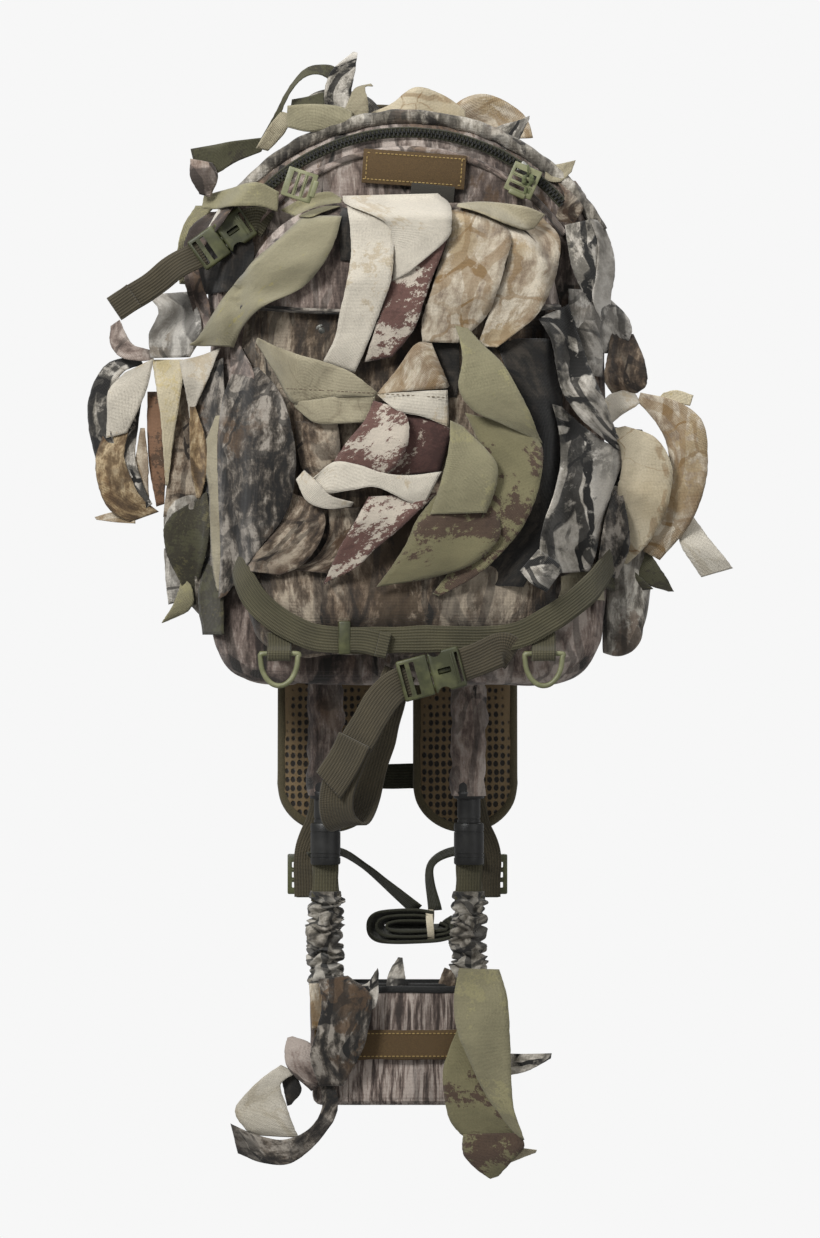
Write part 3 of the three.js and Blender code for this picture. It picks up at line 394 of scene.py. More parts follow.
# Near-black strips hung in the gaps between the other strips, where there is only shade: painted shade, not a
# cloth of their own.
shade_leaf = printed("painted_shade_leaf", (rgb(12, 11, 10), rgb(22, 20, 17), rgb(34, 31, 26), rgb(58, 52, 45)),
                     rgb(44, 36, 28), rgb(14, 13, 12), bark=0.5)
plain_leaf = mottled("plain_olive_leaf", rgb(144, 138, 108), rgb(150, 144, 108), rgb(112, 106, 80), 0.3)

webbing = ribbed("olive_webbing", rgb(42, 38, 26), rgb(84, 75, 54))
green_webbing = ribbed("green_webbing", rgb(50, 47, 32), rgb(92, 87, 62))
dark_webbing = ribbed("dark_webbing", rgb(30, 31, 20), rgb(62, 62, 42))
spacer_mesh = netted("spacer_mesh", rgb(122, 102, 72), rgb(30, 25, 18))
back_mesh = netted("back_mesh", rgb(104, 94, 78), rgb(36, 32, 27), 0.006)
binding = felt("olive_binding", rgb(62, 56, 38), rgb(92, 84, 60), 1400.0)
plastic = moulded("olive_plastic", rgb(56, 58, 35), rgb(96, 98, 62))
pale_plastic = moulded("pale_olive_plastic", rgb(108, 110, 78), rgb(150, 150, 116))
black_plastic = moulded("black_plastic", rgb(20, 20, 19), rgb(44, 44, 42), 0.36)
foam = felt("black_foam", rgb(18, 18, 18), rgb(46, 46, 44), 1100.0, 0.001)
lining = felt("dark_lining", rgb(40, 38, 33), rgb(62, 58, 50), 1500.0)
label_cloth = felt("brown_label_cloth", rgb(70, 54, 32), rgb(98, 77, 46), 1800.0)
gold_thread = felt("gold_thread", rgb(150, 124, 70), rgb(186, 160, 100), 2400.0)
thread = felt("brown_thread", rgb(96, 84, 66), rgb(134, 120, 98), 2400.0)
rubber = felt("cream_rubber", rgb(196, 186, 160), rgb(222, 212, 188), 600.0, 0.0003, 0.7)
cordage = felt("green_cord", rgb(66, 74, 46), rgb(116, 122, 82), 1500.0, 0.0006)
zip_metal = moulded("zip_metal", rgb(70, 70, 66), rgb(150, 150, 144), 0.4)
zip_metal.node_tree.nodes["Principled BSDF"].inputs["Metallic"].default_value = 0.85


# ------------------------------------------------------------------ mesh helpers
def new_piece(name, corners, faces, place=None):
    """A mesh object from corners in millimetres. place holds each corner's (across, along) in metres."""
    data = bpy.data.meshes.new(name)
    data.from_pydata([tuple(c * MM for c in corner) for corner in corners], [], faces)
    data.update()
    if place is not None:
        layer = data.uv_layers.new(name="cloth")
        for loop in data.loops:
            layer.data[loop.index].uv = place[loop.vertex_index]
    piece = bpy.data.objects.new(name, data)
    bpy.context.scene.collection.objects.link(piece)
    for face in data.polygons:
        face.use_smooth = True
    return piece


def only(piece):
    bpy.ops.object.select_all(action="DESELECT")
    piece.select_set(True)
    bpy.context.view_layer.objects.active = piece


def edit_all(piece, tool, **settings):
    """Runs one of edit mode's tools on the whole of a piece."""
    only(piece)
    bpy.ops.object.mode_set(mode="EDIT")
    bpy.ops.mesh.select_all(action="SELECT")
    tool(**settings)
    bpy.ops.object.mode_set(mode="OBJECT")


def finish_modifier(piece, kind, **settings):
    modifier = piece.modifiers.new(kind.title(), kind)
    for name, value in settings.items():
        setattr(modifier, name, value)
    only(piece)
    bpy.ops.object.modifier_apply(modifier=modifier.name)
    return piece


def dress(piece, material, slot, body, *replaced):
    """Paints a piece, hides the CAD parts it stands for, and fixes it to its body. slot is not used."""
    piece.data.materials.clear()
    piece.data.materials.append(material)
    if replaced:
        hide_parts(*replaced)
    if body:
        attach(piece, body)
    return piece


def smooth_line(points, steps):
    """Points on one smooth curve through a list of equal-length tuples, steps to each stretch."""
    rows = np.array(points, float)
    rows = np.vstack([2 * rows[0] - rows[1], rows, 2 * rows[-1] - rows[-2]])
    line = []
    for i in range(1, len(rows) - 2):
        a, b, c, d = rows[i - 1:i + 3]
        for t in np.linspace(0, 1, steps, endpoint=False):
            line.append(0.5 * (2 * b + (c - a) * t + (2 * a - 5 * b + 4 * c - d) * t ** 2
                               + (3 * b - a - 3 * c + d) * t ** 3))
    line.append(rows[-2])
    return np.array(line)


def along_line(line):
    """Unit directions along a line, and the length run at each of its points."""
    steps = np.diff(line, axis=0)
    lengths = np.linalg.norm(steps, axis=1)
    directions = np.gradient(line, axis=0)
    directions /= np.linalg.norm(directions, axis=1)[:, None]
    return directions, np.concatenate([[0], np.cumsum(lengths)])


def tube(name, points, radius, sides=10, closed=False, steps=6, lumps=0.0):
    """A round tube along a smooth line, with closed ends."""
    line = smooth_line([*points, points[0]] if closed else points, steps)
    if closed:
        line = line[:-1]
    directions, run = along_line(line)
    if closed:
        directions = np.roll(line, -1, axis=0) - np.roll(line, 1, axis=0)
        directions /= np.linalg.norm(directions, axis=1)[:, None]
    corners, place = [], []
    side = Vector(directions[0]).orthogonal()
    for i, (point, direction) in enumerate(zip(line, directions)):
        direction = Vector(direction)
        side = (side - direction * side.dot(direction)).normalized()
        other = direction.cross(side)
        for k in range(sides):
            turn = 2 * math.pi * k / sides
            reach = radius * (1 + lumps * noise.noise(Vector((run[i] * 0.08, turn, 3.1))))
            corners.append(Vector(point) + (side * math.cos(turn) + other * math.sin(turn)) * reach)
            place.append((turn * radius * MM, run[i] * MM))
    rings = len(line)
    faces = []
    for i in range(rings if closed else rings - 1):
        for k in range(sides):
            a, b = i * sides + k, i * sides + (k + 1) % sides
            ahead = ((i + 1) % rings) * sides
            faces.append((a, b, ahead + (k + 1) % sides, ahead + k))
    if not closed:
        faces.append(tuple(reversed(range(sides))))
        faces.append(tuple(range((rings - 1) * sides, rings * sides)))
    return new_piece(name, corners, faces, place)


ACROSS = 9


def grid_faces(rows, columns):
    """The faces of a grid whose corners are listed row by row."""
    return [(i * columns + k, (i + 1) * columns + k, (i + 1) * columns + k + 1, i * columns + k + 1)
            for i in range(rows - 1) for k in range(columns - 1)]


def ribbon(name, points, facings, thickness=0.9, cup=0.0, ripple=0.0, slant=0.0, seed=0.0, steps=9):
    """A flat band along points of (x, y, z, width, roll).

    facings are the directions its face looks in, one for all or one for each point, and slant is how
    far its end is cut back. Returns the piece and its flat width, length and area, in metres."""
    line = smooth_line(points, steps)
    looks = [facings] * len(points) if isinstance(facings, Vector) else facings
    looks = smooth_line([tuple(v) for v in looks], steps)
    directions, run = along_line(line[:, :3])
    length = run[-1]
    columns = np.linspace(-1, 1, ACROSS)
    cut_back = slant * line[-1, 3] / length
    corners, place = [], []
    rows = len(line)
    for i in range(rows):
        share = i / (rows - 1)
        for s in columns:
            at = share * (1 - cut_back * (s + 1) / 2) * (rows - 1)
            low = min(int(at), rows - 2)
            part = at - low
            x, y, z, width, roll = line[low] * (1 - part) + line[low + 1] * part
            direction = Vector(directions[low] * (1 - part) + directions[low + 1] * part).normalized()
            look = Vector(looks[low] * (1 - part) + looks[low + 1] * part)
            look = (look - direction * look.dot(direction)).normalized()
            side = direction.cross(look)
            turned = Matrix.Rotation(math.radians(roll), 3, direction)
            side, look = turned @ side, turned @ look
            gone = run[low] * (1 - part) + run[low + 1] * part
            wave = noise.noise(Vector((s * 0.9 + seed, gone * 0.028, seed * 2.7)))
            fold = 0.5 - 2 * abs(noise.noise(Vector((s * 0.7 - gone * 0.02, gone * 0.03, seed * 1.7))))
            curl = cup * (1 + 0.8 * noise.noise(Vector((gone * 0.02, seed * 5.1, 0))))
            edge = 1 + 0.08 * noise.noise(Vector((gone * 0.05, math.copysign(4, s) + seed, 1)))
            out = ripple * (wave + 0.8 * fold) * (0.35 + 0.65 * share) - curl * width * (s * s - 0.35)
            corners.append(Vector((x, y, z)) + side * (s * width / 2 * edge) + look * out)
            place.append((s * width / 2 * MM + seed * 0.37, gone * MM + seed * 0.71))
    piece = new_piece(name, corners, grid_faces(rows, ACROSS), place)
    area = sum(face.area for face in piece.data.polygons)
    width = float(line[:, 3].max()) * MM
    finish_modifier(piece, "SOLIDIFY", thickness=thickness * MM, offset=0)
    return piece, width, length * MM, min(area, width * length * MM)


def web(name, points, facings, body, material=None, thickness=1.7, slant=0.0, cup=0.0):
    """A strap of webbing along points of (x, y, z), 20 mm wide and not rolled unless a point goes on
    to say (width) or (width, roll)."""
    points = [(*point, *(20, 0)[len(point) - 3:]) for point in points]
    piece = ribbon(name, points, facings, thickness, cup, 0.6, slant, 0.0, 8)[0]
    return dress(piece, material or webbing, "olive_webbing", body)


def block(name, low, high, soft=0.0, rounds=2):
    """A block between two corners, with its edges rounded in edit mode."""
    low, high = Vector(low) * MM, Vector(high) * MM
    bpy.ops.object.select_all(action="DESELECT")
    bpy.ops.mesh.primitive_cube_add(size=1, location=(low + high) / 2)
    piece = bpy.context.object
    piece.name = name
    piece.scale = high - low
    bpy.ops.object.transform_apply(location=True, rotation=True, scale=True)
    if soft:
        edit_all(piece, bpy.ops.mesh.bevel, offset=soft * MM, segments=rounds, affect="EDGES")
    return piece


def rod(name, centre, radius, depth, axis="Z", sides=40, soft=0.0):
    """A round bar about a point, along one axis."""
    turn = {"X": (0, math.pi / 2, 0), "Y": (math.pi / 2, 0, 0), "Z": (0, 0, 0)}[axis]
    bpy.ops.object.select_all(action="DESELECT")
    bpy.ops.mesh.primitive_cylinder_add(vertices=sides, radius=radius * MM, depth=depth * MM,
                                        location=Vector(centre) * MM, rotation=turn)
    piece = bpy.context.object
    piece.name = name
    bpy.ops.object.transform_apply(location=True, rotation=True, scale=True)
    if soft:
        finish_modifier(piece, "BEVEL", width=soft * MM, segments=2, limit_method="ANGLE")
    return piece


def carve(piece, *tools):
    """Cuts the tools out of a piece."""
    for tool in tools:
        modifier = piece.modifiers.new("cut", "BOOLEAN")
        modifier.operation = "DIFFERENCE"
        modifier.solver = "EXACT"
        modifier.object = tool
        only(piece)
        bpy.ops.object.modifier_apply(modifier=modifier.name)
        bpy.data.objects.remove(tool)
    return piece


def together(piece, *others):
    """Joins separate lumps into one object."""
    only(piece)
    for other in others:
        other.select_set(True)
    bpy.ops.object.join()
    return piece


def settle(piece, matrix=Matrix.Identity(4), angle=35):
    """Puts a piece made about its own middle in its place, with smooth shading under an angle."""
    piece.data.transform(matrix)
    piece.data.update()
    only(piece)
    bpy.ops.object.shade_smooth_by_angle(angle=math.radians(angle))
    for modifier in list(piece.modifiers):
        bpy.ops.object.modifier_apply(modifier=modifier.name)
    return piece


def stitches(name, points, facing, material, body, slot, pitch=4.0, length=2.6, radius=0.35):
    """A run of short threads lying along a line."""
    line = smooth_line(points, 24)
    directions, run = along_line(line)
    corners, faces = [], []
    for start in np.arange(0, run[-1] - length, pitch):
        i = int(np.searchsorted(run, start))
        direction = Vector(directions[min(i, len(line) - 1)])
        side = direction.cross(facing).normalized() * radius
        out = facing * radius
        here = Vector(line[min(i, len(line) - 1)])
        base = len(corners)
        for share, fat in ((0, 0.4), (0.25, 1), (0.75, 1), (1, 0.4)):
            middle_point = here + direction * (length * share)
            corners.extend(middle_point + offset * fat for offset in (side, out, -side, -out))
        for ring in range(3):
            for k in range(4):
                a, b = base + ring * 4 + k, base + ring * 4 + (k + 1) % 4
                faces.append((b, a, a + 4, b + 4))
        faces.append((base, base + 1, base + 2, base + 3))
        faces.append((base + 15, base + 14, base + 13, base + 12))
    piece = new_piece(name, corners, faces)
    return dress(piece, material, slot, body)


# ------------------------------------------------------------------ soft bodies
def swell(node, name, voxel, shrink, cap, pressure=4.0, fixed=None, folds=1.0, sag=None):
    """A padded copy of a CAD solid: remeshed, blown up as cloth, held near its shape, then smoothed.
    fixed says which points stay, and sag moves a point, in millimetres, as the cloth droops."""
    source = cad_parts[node]
    piece = bpy.data.objects.new(name, source.data.copy())
    bpy.context.scene.collection.objects.link(piece)
    piece.data.materials.clear()
    edit_all(piece, bpy.ops.mesh.remove_doubles, threshold=1e-5)
    finish_modifier(piece, "REMESH", mode="VOXEL", voxel_size=voxel * MM, use_smooth_shade=True)
    normals = np.array([v.normal for v in piece.data.vertices])
    rest = np.array([v.co for v in piece.data.vertices]) - normals * shrink * MM
    held = np.array([bool(fixed and fixed(Vector(p) / MM)) for p in rest])
    piece.data.vertices.foreach_set("co", rest.ravel())
    shape = rest
    group = piece.vertex_groups.new(name="held")
    group.add([int(i) for i in np.nonzero(held)[0]], 1.0, "REPLACE")
    cloth = piece.modifiers.new("Cloth", "CLOTH")
    cloth.settings.use_pressure = True
    cloth.settings.uniform_pressure_force = pressure
    cloth.settings.quality = 4
    cloth.settings.effector_weights.gravity = 0
    cloth.settings.vertex_group_mass = "held"
    for step in range(1, 21):
        bpy.context.scene.frame_set(step)
    graph = bpy.context.evaluated_depsgraph_get()
    blown = piece.evaluated_get(graph)
    shape = np.array([v.co for v in blown.data.vertices])
    bpy.context.scene.frame_set(1)
    piece.modifiers.remove(cloth)
    piece.vertex_groups.clear()
    motion = shape - rest
    far = np.linalg.norm(motion, axis=1)[:, None]
    motion *= np.minimum(1, cap * MM / np.maximum(far, 1e-9))
    shape = rest + motion
    for i, corner in enumerate(shape):
        at = Vector(corner / MM)
        crease = noise.noise(Vector((at.x * 0.012, at.y * 0.03, at.z * 0.03)) + Vector((1, 2, 3)))
        crease += 0.5 * noise.noise(Vector((at.x * 0.05, at.y * 0.05, at.z * 0.02)))
        if not held[i]:
            shape[i] = corner + normals[i] * crease * 3.2 * folds * MM
        if sag:
            shape[i] = sag(Vector(shape[i]) / MM) * MM
    piece.data.vertices.foreach_set("co", shape.ravel())
    piece.data.update()
    finish_modifier(piece, "SMOOTH", factor=0.5, iterations=3)
    finish_modifier(piece, "SUBSURF", levels=1, render_levels=1)
    return piece


def behind_pocket(point):
    """Where the bag's front is covered by the front pocket, or its back lies on the panel."""
    covered = POCKET_LOW.x + 12 < point.x < POCKET_HIGH.x - 12 and point.z < POCKET_HIGH.z - 20
    return (point.y < BAG_LOW.y + 12 and covered) or point.y > BAG_HIGH.y - 45


def near_back(node, reach):
    """Where a solid's back is, within reach of it."""
    back = span(node)[1].y
    return lambda point: point.y > back - reach


def near_wall(node, side, reach):
    """Where a side pocket meets the bag's wall."""
    low, high = span(node)
    return lambda point: (point.x > high.x - reach) if side < 0 else (point.x < low.x + reach)


def droop(node, side):
    """A side pocket's cloth falls back to the bag's wall towards its bottom, more so on the left."""
    low, high = span(node)
    wall = high.x if side < 0 else low.x
    slack = 0.85 if side < 0 else 0.05

    def move(point):
        share = min(max((high.z - 40 - point.z) / (high.z - 40 - low.z), 0), 1)
        keep = 1 - slack * share ** 1.5
        lift = 26 * share if side < 0 else 0
        return Vector((wall + (point.x - wall) * keep, point.y, point.z + lift * share))
    return move


bag = dress(swell("main_bag", "main_bag_cloth", 6, 1.5, 3, 3.0, behind_pocket, 0.7), bag_cloth,
            "camo_cloth", "root", "main_bag")
pocket = dress(swell("front_pocket", "front_pocket_cloth", 5, 3, 8, 4.0, near_back("front_pocket", 8), 1.5),
               dark_cloth, "camo_cloth", "root", "front_pocket")
for side, name in ((-1, "left"), (1, "right")):
    node = f"{name}_side_pocket"
    puffed = swell(node, f"{node}_cloth", 4, 2, 7, 5.0, near_wall(node, side, 5), 1.6, droop(node, side))
    dress(puffed, side_cloth, "camo_cloth", "root", node)
panel = dress(swell("back_panel", "back_panel_padding", 5, 2, 4, 3.0, near_back("back_panel", -1), 0.3),
              back_mesh, "spacer_mesh", "root", "back_panel")


def sewn_channels():
    """The padded back panel's sewn channels: thin raised piping down and across it."""
    low, high = span("back_panel")
    y = high.y - 0.5
    runs = [[(x, y, low.z + 34), (x * 0.9, y, (low.z + high.z) / 2), (x, y, high.z - 34)]
            for x in (-62, 0, 62)]
    pieces = [tube(f"back_channel_{i + 1}", run, 2.0, 8) for i, run in enumerate(runs)]
    inset = 30
    x0, x1, z0, z1 = low.x + 3, high.x - 3, low.z + 3, high.z - 3
    edge = [(x0, z0 + inset), (x0, z1 - inset), (x0 + inset / 4, z1 - inset / 4), (x0 + inset, z1),
            (x1 - inset, z1), (x1 - inset / 4, z1 - inset / 4), (x1, z1 - inset), (x1, z0 + inset),
            (x1 - inset / 4, z0 + inset / 4), (x1 - inset, z0), (x0 + inset, z0),
            (x0 + inset / 4, z0 + inset / 4)]
    pieces.append(tube("back_panel_binding", [(x, y - 2, z) for x, z in edge], 3.2, 8, True))
    for piece in pieces:
        dress(piece, binding, "spacer_mesh", "root")


sewn_channels()


def arrow_hood():
    """The sleeve in the bag's back that the arrows' heads go up into, open below."""
    low, high = span("arrow_hood")
    hood = block("arrow_hood_cloth", low + Vector((1.5, 1.5, 0)), high - Vector((1.5, 1.5, 1.5)), 5)
    mouth = Vector((0, 0, low.z + 7)) * MM
    edit_all(hood, bpy.ops.mesh.bisect, plane_co=mouth, plane_no=UP, clear_inner=True)
    finish_modifier(hood, "SOLIDIFY", thickness=1.6 * MM, offset=0)
    dress(settle(hood), lining, "dark_cloth", "root", "arrow_hood")
    y, x, z = (low.y + high.y) / 2, high.x - 1.5, low.z + 6
    deep = (high.y - low.y) / 2 - 1.5
    rim = [(-x, y - deep + 6, z), (-x + 6, y - deep, z), (0, y - deep, z), (x - 6, y - deep, z),
           (x, y - deep + 6, z), (x, y + deep - 6, z), (x - 6, y + deep, z), (-x + 6, y + deep, z),
           (-x, y + deep - 6, z)]
    dress(tube("hood_mouth_binding", rim, 2.6, 8, True), binding, "dark_cloth", "root")


arrow_hood()


# ------------------------------------------------------------------ arched top: piping, welt, zip
def arch(radius, y, start, end, count=15):
    """Points along the bag's arch; angles in degrees from straight up, positive to the right."""
    return [(BAG_X + radius * math.sin(a), y, ARCH_Z + radius * math.cos(a))
            for a in np.radians(np.linspace(start, end, count))]


PIPING_LOW, PIPING_HIGH = span("top_piping")
ZIP_HIGH = span("main_zip_chain")[1]
ZIP_RADIUS = ZIP_HIGH.z - ARCH_Z - 3
SIDE_ANGLE = math.degrees(math.acos(ARCH_DROP / ARCH_RADIUS))

roll = tube("top_piping_roll", arch(ARCH_RADIUS - 3, (PIPING_LOW.y + PIPING_HIGH.y) / 2 - 3, -SIDE_ANGLE,
                                    SIDE_ANGLE, 25),
            5.2, 12, lumps=0.25)
dress(roll, side_cloth, "camo_cloth", "root", "top_piping")
welt = tube("front_welt", arch(ZIP_RADIUS - 13, BAG_LOW.y - 2.5, -57, 57, 21), 2.6, 10, lumps=0.2)
dress(welt, pale_leaf, "camo_cloth", "root")
for side in (-1, 1):
    edge_x = (BAG_LOW.x + 8) if side < 0 else (BAG_HIGH.x - 8)
    seam = tube(f"side_seam_piping_{'left' if side < 0 else 'right'}",
                [(edge_x, BAG_LOW.y + 9, z) for z in np.linspace(PIPING_LOW.z, BAG_LOW.z + 40, 9)], 2.6, 8,
                lumps=0.3)
    dress(seam, bag_cloth, "camo_cloth", "root")


def zip_chain():
    """Woven tape with two rows of interlocking teeth."""
    y = ZIP_HIGH.y - 2
    tape = ribbon("zip_tape", [(*p, 8, 0) for p in arch(ZIP_RADIUS, y - 0.7, -50, 50, 21)], FRONT, 0.8)[0]
    dress(tape, dark_webbing, "dark_cloth", "root")
    corners, faces = [], []
    pitch = 1.6
    count = int(math.radians(100) * ZIP_RADIUS / pitch)
    for i in range(count):
        turn = math.radians(-50) + i * pitch / ZIP_RADIUS
        outward = Vector((math.sin(turn), 0, math.cos(turn)))
        onward = Vector((math.cos(turn), 0, -math.sin(turn)))
        side = 1 if i % 2 else -1
        centre = Vector((BAG_X, y - 1.9, ARCH_Z)) + outward * (ZIP_RADIUS + side * 1.1)
        base = len(corners)
        for back, grow in ((1.0, 1.0), (-0.9, 0.8)):
            for a, b in ((-1, -1), (1, -1), (1, 1), (-1, 1)):
                reach = outward * (a * 1.9 * grow) + onward * (b * 0.62 * grow)
                corners.append(centre + reach + Vector((0, back, 0)))
        faces.extend(tuple(base + k for k in face) for face in (
            (0, 3, 2, 1), (4, 5, 6, 7), (0, 1, 5, 4), (1, 2, 6, 5), (2, 3, 7, 6), (3, 0, 4, 7)))
    teeth = new_piece("zip_teeth", corners, faces)
    for face in teeth.data.polygons:
        face.use_smooth = False
    edit_all(teeth, bpy.ops.mesh.normals_make_consistent, inside=False)
    dress(teeth, black_plastic, "black_plastic", "root", "main_zip_chain")


zip_chain()


def zip_slider():
    """A die-cast slider with a bridge, and a knotted cord through it."""
    centre = middle("zip_slider")
    turn = math.atan2(centre.x - BAG_X, centre.z - ARCH_Z)
    back = span("zip_slider")[1].y
    place = Matrix.Translation(Vector((centre.x, back, centre.z)) * MM) @ Matrix.Rotation(turn, 4, "Y")
    lower = block("zip_slider_body", (-7.5, -2.4, -4.4), (7.5, 0, 4.4), 0.8)
    nose = rod("nose", (5.6, -1.2, 0), 5.2, 2.4, "Y", 28, 0.5)
    bridge = carve(block("bridge", (-6.5, -8.4, -1.5), (6.5, -1, 1.5), 0.9, 3),
                   block("window", (-4.4, -6.3, -3), (4.4, -1.6, 3), 0.6))
    together(lower, nose, bridge)
    dress(settle(lower, place), zip_metal, "zip_metal", "slider", "zip_slider")
    low, high = span("zip_pull")
    pull = Vector((centre.x, (low.y + high.y) / 2 - 1.2, high.z - 4.6))
    loop = [(pull.x, pull.y + 4 * math.sin(a), pull.z + 4 * math.cos(a))
            for a in np.linspace(0, 2 * math.pi, 10)[:-1]]
    cord_loop = tube("pull_cord_loop", loop, 0.7, 8, True)
    knot = [(pull.x + 3.1 * math.sin(a), pull.y + 2.6 * math.cos(a * 2),
             pull.z - 8.2 - 3 * math.cos(a) + a * 0.25)
            for a in np.linspace(-3.4, 9.2, 26)]
    cord_knot = tube("pull_cord_knot", knot, 1.7, 8)
    ends = []
    for k, lean in enumerate((-2.2, 2.0, 0.4)):
        tail = [(pull.x, pull.y, pull.z - 10), (pull.x + lean * 0.6, pull.y - 0.6 + k * 0.5, pull.z - 14),
                (pull.x + lean, pull.y - 0.4 + k * 0.4, pull.z - 18)]
        ends.append(tube(f"pull_cord_end_{k + 1}", tail, 1.3, 8, lumps=0.5))
    together(cord_loop, cord_knot, *ends)
    cord_loop.name = "pull_cord_knotted"
    dress(cord_loop, cordage, "olive_webbing", "pull_cord", "zip_pull")


zip_slider()


def label(name, centre, width, height, tilt, material, border, y):
    """A cloth label with a stitched border and nothing on it."""
    patch = block(name, (-width / 2, -1.4, -height / 2), (width / 2, 0, height / 2), 0.5)
    place = Matrix.Translation(Vector((centre[0], y, centre[1])) * MM)
    place = place @ Matrix.Rotation(math.radians(tilt), 4, "Y")
    dress(settle(patch, place), material, "label_cloth", "root")
    if border:
        inset = 3
        half_w, half_h = width / 2 - inset, height / 2 - inset
        ring = [(-half_w, half_h), (half_w, half_h), (half_w, -half_h), (-half_w, -half_h)]
        for k, (start, end) in enumerate(zip(ring, ring[1:] + ring[:1])):
            ends = [(place @ (Vector((x, -1.6, z)) * MM)) / MM for x, z in (start, end)]
            stitches(f"{name}_stitching_{k + 1}", [tuple(p) for p in ends], FRONT, border, "root",
                     "label_cloth", 3.0, 2.2, 0.45)
    return patch


LABEL_LOW, LABEL_HIGH = span("front_label")
label_middle = (LABEL_LOW + LABEL_HIGH) / 2
patch = label("front_label_patch", (label_middle.x + 1, label_middle.z + 5), 78, 26, 4, label_cloth,
              gold_thread,
              LABEL_LOW.y - 3.5)
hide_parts("front_label")
label("front_label_tab", (label_middle.x + 15, label_middle.z - 14), 33, 14, 6, lining, None,
      LABEL_LOW.y - 5.2)


# ------------------------------------------------------------------ haul loop
def haul_loop():
    low, high = span("haul_loop")
    y = (low.y + high.y) / 2
    points = [(low.x + 1.5, y, low.z - 2), (low.x + 1.5, y, high.z - 9),
              (low.x + 9, y, high.z - 2), (0, y, high.z - 1), (high.x - 9, y, high.z - 2),
              (high.x - 1.5, y, high.z - 9), (high.x - 1.5, y, low.z - 2)]
    looks = [Vector((-1, 0, 0)), Vector((-1, 0, 0.3)), Vector((-0.5, 0, 1)), UP, Vector((0.5, 0, 1)),
             Vector((1, 0, 0.3)), Vector((1, 0, 0))]
    loop = web("haul_loop_webbing", points, looks, "root", thickness=2.6)
    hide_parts("haul_loop")


haul_loop()


# ------------------------------------------------------------------ front flap
FLAP_LOW, FLAP_HIGH = span("pocket_flap")


def pocket_front(x, z):
    """How far forward the bag's cloth stands at a place seen from the front."""
    arch_top = ARCH_Z + math.sqrt(max(ARCH_RADIUS ** 2 - (x - BAG_X) ** 2, 0))
    bag_gap = min(x - BAG_LOW.x, BAG_HIGH.x - x, z - BAG_LOW.z, arch_top - z)
    corner = 80
    pocket_top = POCKET_HIGH.z
    past = abs(x - POCKET_X) - (POCKET_HIGH.x - POCKET_X - corner)
    if past > 0:
        pocket_top -= corner - math.sqrt(max(corner ** 2 - past ** 2, 0))
    pocket_gap = min(x - POCKET_LOW.x, POCKET_HIGH.x - x, z - POCKET_LOW.z, pocket_top - z)

    def rise(gap, reach):
        share = min(max(gap / reach, 0), 1)
        return share * share * (3 - 2 * share)

    edge_y = -112
    bag_part = (BAG_LOW.y - edge_y) * rise(bag_gap + 12, 26)
    return edge_y + bag_part + (POCKET_LOW.y - BAG_LOW.y) * rise(pocket_gap + 6, 22)


FLAP_CORNER = 78


def pocket_flap():
    """The flap over the front pocket: a curved sheet with a bound edge."""
    columns, rows = 41, 17
    half = (FLAP_HIGH.x - FLAP_LOW.x) / 2 - 2
    corners, place = [], []
    for j in range(rows):
        for i in range(columns):
            s = 2 * i / (columns - 1) - 1
            x = POCKET_X + s * half
            past = max(abs(s * half) - (half - FLAP_CORNER), 0)
            top = FLAP_HIGH.z - (FLAP_CORNER - math.sqrt(FLAP_CORNER ** 2 - past ** 2))
            bottom = FLAP_LOW.z - 3 + 5 * s * s
            z = top + (bottom - top) * j / (rows - 1)
            ripple = 2.0 * noise.noise(Vector((x * 0.04, z * 0.03, 0)))
            proud = 3.5 + ripple + 7 * (j / rows) ** 1.5
            corners.append((x, min(pocket_front(x, z), FLAP_HIGH.y + 14) - proud, z))
            place.append((x * MM, z * MM))
    flap = new_piece("pocket_flap_cloth", corners, grid_faces(rows, columns), place)
    finish_modifier(flap, "SOLIDIFY", thickness=1.8 * MM, offset=0)
    dress(flap, bag_cloth, "camo_cloth", "flap", "pocket_flap")
    low_edge = [corners[(rows - 1) * columns + i] for i in range(0, columns, 2)]
    dress(tube("flap_edge_binding", low_edge, 2.2, 8), dark_leaf, "camo_cloth", "flap")


pocket_flap()

stud_low, stud_high = span("snap_stud")
stud_middle = (stud_low + stud_high) / 2
stud = rod("snap_stud_button", (stud_middle.x, stud_low.y + 1.0, stud_middle.z), 5, 2.4, "Y", 28, 0.7)
stud_rim = rod("stud_rim", (stud_middle.x, stud_low.y - 0.4, stud_middle.z), 2.6, 2.0, "Y", 20, 0.6)
together(stud, stud_rim)
dress(settle(stud), zip_metal, "zip_metal", "root", "snap_stud")


# ------------------------------------------------------------------ quiver poles and cup
def turned_about(piece, x, y):
    return settle(piece, Matrix.Translation(Vector((x, y, 0)) * MM))


